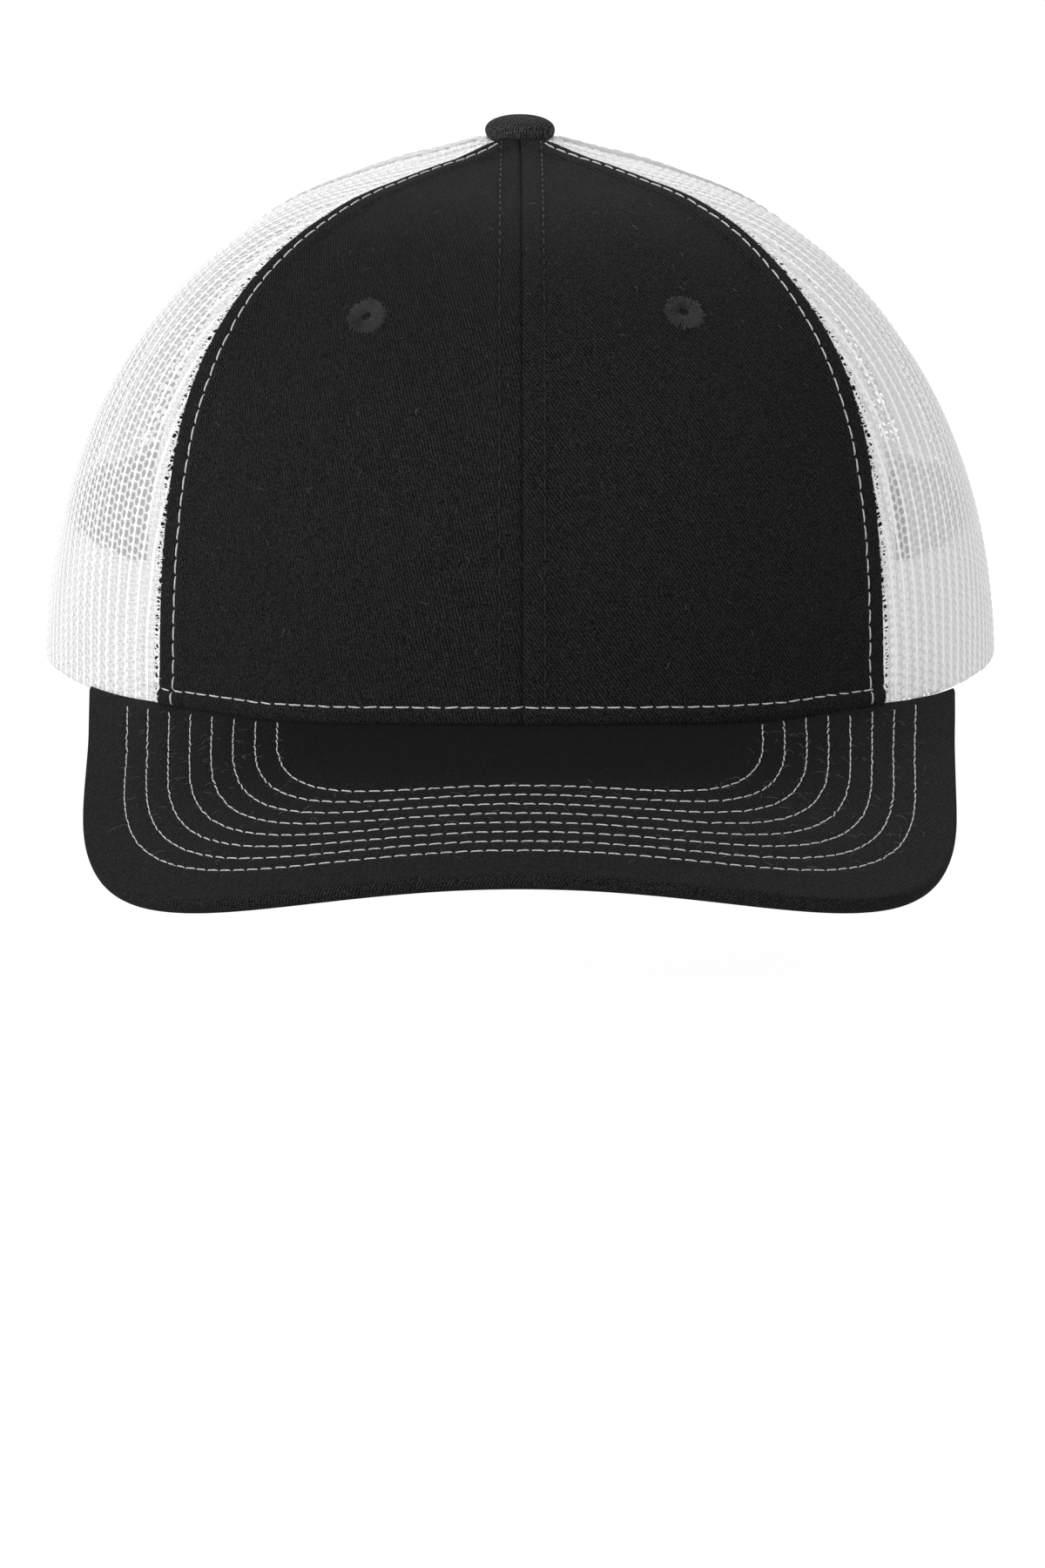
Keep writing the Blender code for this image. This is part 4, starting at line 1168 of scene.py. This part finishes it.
def settled_padding(end):
    """Swelling of the band's inner face between its stitched rows, from a cloth simulation."""
    columns, rows = 270, 17
    phi = np.linspace(-end, end, columns)[:, None]
    levels = np.concatenate([[0.0, 1.4, 2.7], np.linspace(4.6, 30.3, rows - 6), [32.2, 33.6, 35.0]])
    level = levels + 0 * phi
    rise = band_rise(phi, level)
    phi = phi + 0 * rise
    start = 0.12 * np.sin(pi * np.clip((level - 2.7) / 29.5, 0, 1))
    start = start * (1 + 0.3 * np.sin(phi * 23) + 0.2 * np.sin(phi * 57 + level * 0.25))
    flat = crown(phi, rise, band_inner(phi) - start)
    outer = crown(phi, rise, -band_depth(phi))
    outer[:, 0, 2] = flat[:, 0, 2] = 0.0
    trial = add("band_trial", sheet(outer, flat, pair(phi * 93, rise)), "sweatband_cotton")
    held = (level < 2.8) | (level > 32.1)
    held[:2] = held[-2:] = True
    group = trial.vertex_groups.new(name="held")
    count = columns * rows
    pinned = np.concatenate([np.arange(count), count + np.flatnonzero(held.ravel())])
    group.add([int(i) for i in pinned], 1.0, "REPLACE")

    cloth = trial.modifiers.new("Cloth", "CLOTH")
    settings = cloth.settings
    settings.quality = 5
    settings.mass = 0.15
    settings.tension_stiffness = settings.compression_stiffness = 6.0
    settings.shear_stiffness = 3.0
    settings.bending_stiffness = 0.2
    settings.vertex_group_mass = "held"
    settings.shrink_min = -0.008
    settings.use_pressure = True
    settings.uniform_pressure_force = 12.0
    settings.effector_weights.gravity = 0.0
    cloth.collision_settings.use_collision = False
    cloth.collision_settings.use_self_collision = False
    cloth.point_cache.frame_start, cloth.point_cache.frame_end = 1, 24
    scene = bpy.context.scene
    for frame_number in range(1, 25):
        scene.frame_set(frame_number)
    shape = trial.evaluated_get(bpy.context.evaluated_depsgraph_get()).to_mesh()
    settled = np.empty(len(shape.vertices) * 3, np.float32)
    shape.vertices.foreach_get("co", settled)
    moved = settled.reshape(-1, 3)[count:] * 1000.0 - SHIFT - flat.reshape(-1, 3)
    bpy.data.objects.remove(trial)
    scene.frame_set(1)
    inward = unit(crown(phi, rise, -4.0) - crown(phi, rise, -3.0))
    swell = np.einsum("ijk,ijk->ij", moved.reshape(columns, rows, 3), inward) + start
    return phi[:, 0], levels, 1.9 * np.tanh(np.clip(swell, 0, None) / 1.9)


def sweatband():
    end = float(rim_angle(49.5))
    phi = np.linspace(-end, end, 640)[:, None]
    levels = np.concatenate(
        [np.linspace(0, 3.4, 9), np.linspace(4.2, 31.5, 22), np.linspace(32.3, BAND, 8)]
    )
    rise = band_rise(phi, levels)
    phi = phi + 0 * rise
    level = levels + 0 * phi
    rolls = 0.35 * np.sin(np.clip(level / 2.6, 0, 1) * pi)
    rolls = rolls + 0.45 * np.sin(np.clip((level - 32.4) / 2.6, 0, 1) * pi)
    trial_phi, trial_levels, swell = settled_padding(end)
    puff = sample(swell, trial_phi, phi[:, 0])
    puff = np.stack([np.interp(levels, trial_levels, row) for row in puff])
    for _ in range(2):
        puff[1:-1] = (puff[:-2] + 2 * puff[1:-1] + puff[2:]) / 4
        puff[:, 1:-1] = (puff[:, :-2] + 2 * puff[:, 1:-1] + puff[:, 2:]) / 4
    puff = puff + rolls
    outer = crown(phi, rise, -1.0 - (band_depth(phi) - 1.0) * ease(0.25 + level / 2.6))
    inner = crown(phi, rise, band_inner(phi) - puff)
    outer[:, 0, 2] = inner[:, 0, 2] = 0.0
    parts = [sheet(outer, inner, pair(phi * 93, rise))]
    row_phi = np.linspace(-end + 0.01, end - 0.01, 2400)
    for row in BAND_ROWS:
        out = band_inner(row_phi) - 0.03
        line = crown_line(row_phi, band_rise(row_phi, row), out, step=-1)
        parts.append(stitches(line, 3.0, 2.4, radius=0.18))
    split = (outer.shape[0] - 1) * (outer.shape[1] - 1)
    on_crown("sweatband_cotton", join(parts), "sweatband_cotton_outside", "sweatband",
             inner_mat="sweatband_cotton", split=split)


sweatband()

up = np.linspace(0, 1, 24)
phi = np.radians(119 + 10 * np.linspace(0, 1, 30))[:, None] + 0 * up
out = -5.45 - 0.15 * np.sin(up * pi) - 0.1 * np.sin(np.linspace(0, pi, 30))[:, None]
body = crown_sheet(phi, 6.0 + 24.5 * up + 0 * phi, out, 0.3)
on_crown("label_blank", body, "label_satin", "care_label_blank")

# ---------------------------------------------------------------- metal under the button, board
# (radius, height)
CAP = ((0.0, 103.3), (3.2, 103.1), (4.9, 102.4), (5.5, 101.5), (5.5, 101.0), (5.15, 101.0),
       (5.1, 101.5), (4.5, 102.1), (3.0, 102.6), (0.0, 102.8))
RIVET = ((0.0, 95.9), (1.9, 95.9), (2.4, 96.15), (2.6, 96.6), (2.6, 97.0), (2.4, 97.35),
         (1.5, 97.5), (1.5, 101.6), (0.0, 102.0))
for name, profile, steps, replaces in (
    ("button_metal_cap", CAP, 40, "button_shell"),
    ("button_rivet_stem", RIVET, 32, "button_rivet"),
):
    verts, quads, uv = turned(profile, steps)
    on_crown(name, (verts, facing_out(verts, quads), uv), "plated_metal", replaces)
for name, mat in (("visor_board", "visor_board_plastic"), ("button_washer", "plated_metal")):
    nodes[name].data.materials.clear()
    nodes[name].data.materials.append(MATERIALS[mat])


# ---------------------------------------------------------------- seams of the mesh panels
def mesh_seam(place, angle, low, slot):
    """Two rolled selvedges side by side with a row of topstitching beside each."""
    rise = np.linspace(low, rise_at_radius(abs(angle), 6.9), 420)
    radius = local_radius(angle, rise)
    parts = []
    for off in (-0.62, 0.62):
        phi = angle + off / radius
        out = wobble(np.abs(phi), rise, 0.4) - 0.2 + 0.05 * np.sin(rise * 2.1 + off)
        parts.append(cord(crown_line(phi, rise, out), 0.5 + 0.04 * np.sin(rise * 3.3)))
    for off in (-2.7, 2.7):
        phi = angle + off * np.minimum(1, radius / 14) / radius
        out = wobble(np.abs(phi), rise, 0.4) - 0.22
        parts.append(stitches(crown_line(phi, rise, out), 3.2, 2.6))
    on_crown(f"mesh_seam_{place}", join(parts), "white_thread", slot=slot)


mesh_seam("left", -SIDE_SEAM, 1.0, "mesh_side_panel_left")
mesh_seam("right", SIDE_SEAM, 1.0, "mesh_side_panel_right")
mesh_seam("back", pi, float(rise_at_height(pi, 60.5)), "mesh_back_panel_left")


def seam_allowance(side, sign, top):
    """Black allowance under the first holes of the mesh."""
    rise = np.linspace(2.0, top, 260)
    width = 2.3 + 0.35 * np.sin(rise * 0.9) + 0.25 * np.sin(rise * 2.3 + 1)
    across = np.linspace(0, 1, 5)[:, None]
    phi = sign * (FRONT_SEAM + across * (width / local_radius(FRONT_SEAM, rise)))
    phi = phi[::sign]
    rise = rise + 0 * phi
    body = crown_sheet(phi, rise, -1.02 + wobble(np.abs(phi), rise, 0.4), 0.25)
    on_crown(f"seam_allowance_{side}", body, f"twill_{side}", slot=f"front_panel_{side}")


def edge_loops(side, sign, top):
    """The knit's cut loops, lapping over the front panel's fold."""
    count = int(top / 0.42)
    start = np.linspace(1.0, top, count) + rng.normal(0, 0.25, count)
    share = np.linspace(0, 1, 6)
    reach = 0.42 + 0.32 * np.sin(start / COURSE * 2 * pi) + rng.gamma(1.5, 0.2, count) - 0.15
    reach = np.clip(reach, 0.05, 1.5)
    arc = 1.5 - (1.5 + reach)[:, None] * share
    slant = rng.normal(0, 0.75, count)[:, None] * share
    bow = rng.normal(0, 0.22, count)[:, None] * np.sin(pi * share)
    rise = np.clip(start[:, None] + (slant + bow), 0.3, top + 2)
    phi = FRONT_SEAM + arc / local_radius(FRONT_SEAM, rise)
    on_mesh = wobble(phi, rise, 0.4) - 0.30
    over = np.where(arc > 0, on_mesh, front_relief(np.minimum(phi, FRONT_SEAM), rise))
    over = np.where(np.abs(arc) < 0.45, np.maximum(over, -0.3), over)
    lift = rng.uniform(0.0, 0.16, count)[:, None] * np.sin(pi * share)
    out = np.maximum(over, -0.35) + 0.10 + lift
    around = circle(4, 0.5)
    radius = 0.09 + rng.uniform(0.02, 0.12, count) * (reach < 0.9)
    radius = (radius[:, None] * (1 - 0.5 * share))[..., None]
    ring_rise = rise[..., None] + radius * np.cos(around)
    ring_out = out[..., None] + radius * np.sin(around)
    verts, quads = tubes(crown(sign * phi[..., None], ring_rise, ring_out))
    on_crown(f"mesh_edge_loops_{side}", (verts, quads, pair(ring_rise, ring_out)), "mesh_yarn",
             slot=f"mesh_side_panel_{side}")


for side, sign in SIDES:
    top = rise_at_radius(FRONT_SEAM, 9.0)
    seam_allowance(side, sign, top)
    edge_loops(side, sign, top)

# ---------------------------------------------------------------- binding round the back opening
# sections of the folded tape, outer and inner face: (reach over the mesh from the edge, out)
BINDING_OUTER = np.array([
    (7.0, 0.42), (7.12, 0.68), (6.85, 0.92), (6.3, 0.88), (5.75, 0.72), (5.2, 0.9), (4.0, 1.0),
    (2.5, 1.0), (1.0, 0.98), (0.1, 0.85), (-0.6, 0.4), (-1.0, -0.2), (-1.08, -0.65), (-1.0, -1.1),
    (-0.6, -1.7), (0.1, -2.1), (1.0, -2.2), (2.5, -2.2), (4.0, -2.2), (5.2, -2.15), (5.75, -2.0),
    (6.3, -2.12), (6.85, -2.15), (7.1, -1.95), (7.0, -1.65),
])
BINDING_INNER = np.array([
    (6.9, 0.38), (6.9, 0.4), (6.7, 0.4), (6.2, 0.4), (5.7, 0.38), (5.2, 0.4), (4.0, 0.4),
    (2.5, 0.4), (1.0, 0.38), (0.4, 0.3), (0.0, 0.1), (-0.25, -0.3), (-0.3, -0.65), (-0.25, -1.0),
    (0.0, -1.35), (0.4, -1.55), (1.0, -1.6), (2.5, -1.62), (4.0, -1.62), (5.2, -1.62), (5.7, -1.6),
    (6.2, -1.62), (6.7, -1.62), (6.9, -1.62), (6.9, -1.6),
])


def arch_binding():
    angle = np.linspace(-pi / 2, pi / 2, 220)
    edge_phi = pi - np.arcsin(ARCH_HALF * np.sin(angle) / HALF_WIDTH)
    edge_rise = rise_at_height(edge_phi, ARCH_HEIGHT * np.cos(angle))
    edge_rise[[0, -1]] = 0.0
    edge, normal = crown_line(edge_phi, edge_rise, 0.0)
    away = np.cross(normal, unit(np.gradient(edge, axis=0)))
    from_middle = edge - crown([pi], rise_at_height(pi, 14.0))
    away *= np.sign(np.einsum("ij,ij->i", away, from_middle))[:, None]
    # the direction away from the edge, split into round the crown and up it
    small = 1e-4
    around = (crown(edge_phi + small, edge_rise) - edge) / small
    radius = np.linalg.norm(around, axis=1)
    around /= radius[:, None]
    upward = np.cross(normal, around)
    upward *= np.sign(upward[:, 2])[:, None]
    phi_part = (np.einsum("ij,ij->i", away, around) / radius)[:, None]
    rise_part = np.einsum("ij,ij->i", away, upward)[:, None]

    def beside(reach, out):
        phi = edge_phi[:, None] + reach * phi_part
        return crown(phi, np.maximum(edge_rise[:, None] + reach * rise_part, 0.0), out)

    ripple = 0.05 * np.sin(np.linspace(0, 60, 220)) + 0.04 * np.sin(np.linspace(0, 23, 220))
    ripple = ripple[:, None]
    outer, inner = (
        beside(path[:, 0] + ripple, path[:, 1] + ripple) for path in (BINDING_OUTER, BINDING_INNER)
    )
    uv = pair(run_along(edge)[:, None], run_along(BINDING_OUTER))
    verts, quads, uv = sheet(outer, inner, uv)
    parts = [(verts, facing_out(verts, quads), uv)]
    for out, turn in ((0.78, 1), (-2.05, -1)):
        line = beside(5.75, out)[:, 0], normal * turn
        parts.append(stitches(line, 3.0, 2.4, radius=0.18, start=2, stop=2))
    on_crown("arch_binding_tape", join(parts), "binding_cotton", "back_arch_binding")


arch_binding()

# ---------------------------------------------------------------- snap closure
# along a strap: 0 at the back centre, positive towards its free end; up from its middle
PITCH, LAST_SNAP, SNAPS = 7.6, 11.4, 7
STRAP_LOW, STRAP_TALL, STRAP_THICK = 2.5, 18.0, 1.1
STRAP_HALF = STRAP_TALL / 2
HINGE, TIP, TAB_END = 38.5, 16.6, 59.7
PEG_DEPTH, HOLE_DEPTH = 2.5, 1.0  # of each strap's outer face, in from the crown's surface
HOLE_RADIUS, TIP_ROUND = 2.45, 4.2
LEVELS = np.concatenate([[-STRAP_HALF, -8.82], np.linspace(-8.3, 8.3, 11), [8.82, STRAP_HALF]])
CELL = np.linspace(-PITCH / 2, PITCH / 2, 9)
# height of the raised lip on each ring from a hole's edge outwards
LIP = np.array([-0.2, -0.02, 0.10, 0.14, 0.06, 0, 0, 0, 0, 0])
# (radius, height above the strap)
PEG = ((0, -0.4), (2.15, -0.4), (2.1, 0.0), (1.72, 0.22), (1.55, 0.6), (1.6, 1.0), (1.85, 1.35),
       (1.98, 1.65), (1.9, 1.9), (1.6, 2.08), (1.1, 2.16), (0, 2.18))


def hole_strap_depth(along):
    """The strap with holes steps out from its tab to lie over the other strap."""
    step = (PEG_DEPTH - HOLE_DEPTH) * ease((HINGE - 2.5 - np.abs(along)) / 12)
    return np.where(along < 0, PEG_DEPTH - step, HOLE_DEPTH)


def strap_surface(along, up, depth):
    """Points by distance round the back towards +X, height and depth."""
    phi = rim_angle(along)
    return crown(phi, rise_at_height(phi, STRAP_LOW + STRAP_HALF + up), -depth)


def strap_point(along, depth):
    return strap_surface(np.array([along]), 0.0, depth)[0]


def round_tip(along, up):
    """Rounds the corners of a strap's free end."""
    over = np.clip(along - (TIP - TIP_ROUND), 0, TIP_ROUND)
    cut = TIP_ROUND - np.sqrt(np.maximum(0, TIP_ROUND**2 - over**2))
    cut = np.minimum(cut, TIP_ROUND * 0.93)
    return up - np.sign(up) * ease((np.abs(up) - 3.2) / (STRAP_HALF - 3.2)) * cut


def patch(flat, quads):
    return flat, quads, flat[:, :2]


def hole_cell(centre):
    """Flat rings from a hole out to its rectangle."""
    edge = np.array(
        [(CELL[-1], y) for y in LEVELS[:-1]] + [(x, LEVELS[-1]) for x in CELL[:0:-1]]
        + [(CELL[0], y) for y in LEVELS[:0:-1]] + [(x, LEVELS[0]) for x in CELL[:-1]]
    )
    count, tall, wide = len(edge), len(LEVELS) - 1, len(CELL) - 1
    corner_marks = [0, tall, tall + wide, 2 * tall + wide, count]
    angle = np.interp(np.arange(count), corner_marks, np.radians([-58, 58, 122, 238, 302]))
    way = pair(np.cos(angle), np.sin(angle))
    rings = [(HOLE_RADIUS + step) * way for step in (0, 0.12, 0.3, 0.55, 0.8, 1.0)]
    rings += [rings[5] * (1 - f) + edge * f for f in (0.3, 0.6, 0.85, 1.0)]
    flat = (np.array(rings) + np.array([centre, 0.0])).reshape(-1, 2)
    flat = np.concatenate([flat, np.repeat(LIP, count)[:, None]], 1)
    return patch(flat, ring_quads(len(rings), count)[:, [0, 3, 2, 1]])


def strip(start, end, step=1.5):
    count = max(2, int(abs(end - start) / step) + 1)
    along, up = np.meshgrid(np.linspace(start, end, count), LEVELS, indexing="ij")
    flat = np.stack([along, up, 0 * up], -1).reshape(-1, 3)
    return patch(flat, grid_quads(count, len(LEVELS)))


def strap_parts(holes):
    """Flat pattern of a strap with its sewn tab: (along, up, lift)."""
    if not holes:
        return [strip(-TAB_END, TIP - 4.5), strip(TIP - 4.5, TIP, 0.35)]
    first = LAST_SNAP - PITCH * (SNAPS - 1) - PITCH / 2
    cells = [hole_cell(LAST_SNAP - PITCH * k) for k in range(SNAPS)]
    return [strip(-TAB_END, first), *cells, strip(LAST_SNAP + PITCH / 2, TIP, 0.28)]


def peg(along):
    """A headed peg standing outwards from its strap."""
    centre = strap_point(along, PEG_DEPTH)
    normal = unit(strap_point(along, PEG_DEPTH - 1) - centre)
    side = unit(np.cross([0, 0, 1], normal))
    verts, quads, uv = turned(PEG, 28)
    return verts @ np.array([side, np.cross(normal, side), normal]) + centre, quads, uv


def strap(holes):
    flat, quads, _ = join(strap_parts(holes))
    # weld the patches where they meet
    _, first, same = np.unique(
        np.round(flat[:, :2], 3), axis=0, return_index=True, return_inverse=True
    )
    flat, quads = flat[first], same.reshape(-1)[quads]
    along, up, lift = flat.T
    soften = np.where(np.abs(np.abs(up) - STRAP_HALF) < 1e-6, 0.22, 0)
    soften = soften + np.where(np.abs(along - TIP) < 1e-6, 0.22, 0)
    soften = np.minimum(soften + np.where(np.abs(along + TAB_END) < 1e-6, 0.2, 0), 0.25)
    up = round_tip(along, up)
    depth = hole_strap_depth(along) if holes else PEG_DEPTH
    round_back = along if holes else -along
    outer = strap_surface(round_back, up, depth - lift + soften)
    inner = strap_surface(round_back, up, depth + STRAP_THICK + np.minimum(lift, 0) - soften)
    count = len(flat)
    edges = np.concatenate([quads[:, [k, (k + 1) % 4]] for k in range(4)])
    edges = edges[edges[:, 0] != edges[:, 1]]
    _, index, uses = np.unique(
        np.sort(edges, axis=1), axis=0, return_index=True, return_counts=True
    )
    start, end = edges[index[uses == 1]].T
    walls = np.stack([end, start, start + count, end + count], -1)
    verts = np.concatenate([outer, inner])
    quads = facing_out(verts, np.concatenate([quads, quads[:, ::-1] + count, walls]))
    parts = [(verts, quads, np.concatenate([pair(along, up)] * 2))]
    if not holes:
        parts += [peg(PITCH * k - LAST_SNAP) for k in range(SNAPS)]
    return join(parts)


for name, sign in (("hole_strap", -1), ("peg_strap", 1)):
    tab = name + "_sewn_tab"
    part = add(name + "_moulding", strap(name == "hole_strap"), "snap_plastic")
    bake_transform(part)
    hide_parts(name, tab)
    # two short rows of stitches hold the tab to the mesh
    rows = []
    for along in (46.5, 56.0):
        up = np.linspace(-7.6, 7.6, 60)
        place = np.full(60, sign * along)
        points = strap_surface(place, up, 3.62)
        line = points, strap_surface(place, up, 4.6) - points
        rows.append(stitches(line, 2.9, 2.3, radius=0.18))
    on_crown(name + "_tab_stitches", join(rows), "white_thread", slot=tab)

# ---------------------------------------------------------------- floor, world, lights, camera
# from here on lengths are in metres
FLOOR_HALF, FLOOR_Z = 6, -0.016  # under the visor at its lowest bend
FLOOR_GLOW, FLOOR_GIVEN = 0.94, 0.30  # glow seen by the camera, and that given to the cap
corners = [(x * FLOOR_HALF, y * FLOOR_HALF, FLOOR_Z) for x, y in ((-1, -1), (1, -1), (1, 1), (-1, 1))]
mesh = bpy.data.meshes.new("floor")
mesh.from_pydata(corners, [], [(0, 1, 2, 3)])
floor = bpy.data.objects.new("floor", mesh)
bpy.context.scene.collection.objects.link(floor)
shader = Shader("floor_white")
shader.put(Base_Color=(0.16, 0.16, 0.16), Roughness=0.9, Specular_IOR_Level=0.1,
           Emission_Color=(1, 1, 1), Emission_Strength=FLOOR_GLOW)
seen = shader.node("LightPath").outputs["Is Camera Ray"]
glow = shader.node("MapRange", To_Min=FLOOR_GIVEN, To_Max=FLOOR_GLOW, Value=seen)
shader.put(Emission_Strength=glow.outputs[0])
mesh.materials.append(shader.mat)

WORLD_SEEN, WORLD_LIGHT = 1.05, 0.42  # strength behind the cap, and of the light it gives
world = bpy.data.worlds.new("studio")
bpy.context.scene.world = world
world.use_nodes = True
tree = world.node_tree
tree.nodes.clear()
output = tree.nodes.new("ShaderNodeOutputWorld")
mix = tree.nodes.new("ShaderNodeMixShader")
for strength, k in ((WORLD_SEEN, 2), (WORLD_LIGHT, 1)):
    background = tree.nodes.new("ShaderNodeBackground")
    background.inputs["Color"].default_value = (1, 1, 1, 1)
    background.inputs["Strength"].default_value = strength
    tree.links.new(background.outputs[0], mix.inputs[k])
path = tree.nodes.new("ShaderNodeLightPath")
tree.links.new(path.outputs["Is Camera Ray"], mix.inputs[0])
tree.links.new(mix.outputs[0], output.inputs[0])

target = in_frame((0, 0, 0)) + Vector((0, -0.03, 0.03))


def light(name, offset, size, power):
    """Area light at an offset from the target, aimed at it."""
    data = bpy.data.lights.new(name, "AREA")
    data.shape = "RECTANGLE"
    data.size, data.size_y = size
    data.energy = power
    lamp = bpy.data.objects.new(name, data)
    lamp.location = target + Vector(offset)
    lamp.rotation_euler = (target - lamp.location).to_track_quat("-Z", "Y").to_euler()
    bpy.context.scene.collection.objects.link(lamp)


light("key", offset=(-1.35, -0.95, 0.6), size=(0.9, 0.9), power=17.5)
light("fill", offset=(1.5, -1.1, 0.35), size=(1.2, 1.2), power=6.5)
light("front", offset=(-0.2, -2.0, 0.3), size=(1.4, 0.9), power=10.5)
light("back", offset=(0.3, 1.5, 1.0), size=(1.2, 0.8), power=12)

# the camera looks at the front from a little above; its distances are in millimetres
ELEVATION, DISTANCE, ASIDE, LOWERED = radians(10.5), 2200.0, 0.5, 27.2
view_up = np.array([0, sin(ELEVATION), cos(ELEVATION)])
view = np.array([0, cos(ELEVATION), -sin(ELEVATION)])
eye = (np.array([ASIDE, 0, 0]) - LOWERED * view_up - DISTANCE * view + SHIFT) * 0.001
data = bpy.data.cameras.new("photo_view")
data.lens, data.sensor_width, data.clip_end = 255.82, 36.0, 60
camera = bpy.data.objects.new("photo_view", data)
camera.matrix_world = Matrix((
    (1, 0, 0, eye[0]),
    (0, view_up[1], -view[1], eye[1]),
    (0, view_up[2], -view[2], eye[2]),
    (0, 0, 0, 1),
))
bpy.context.scene.collection.objects.link(camera)
bpy.context.scene.camera = camera
bpy.context.scene.view_settings.view_transform = "Standard"

bpy.context.view_layer.update()
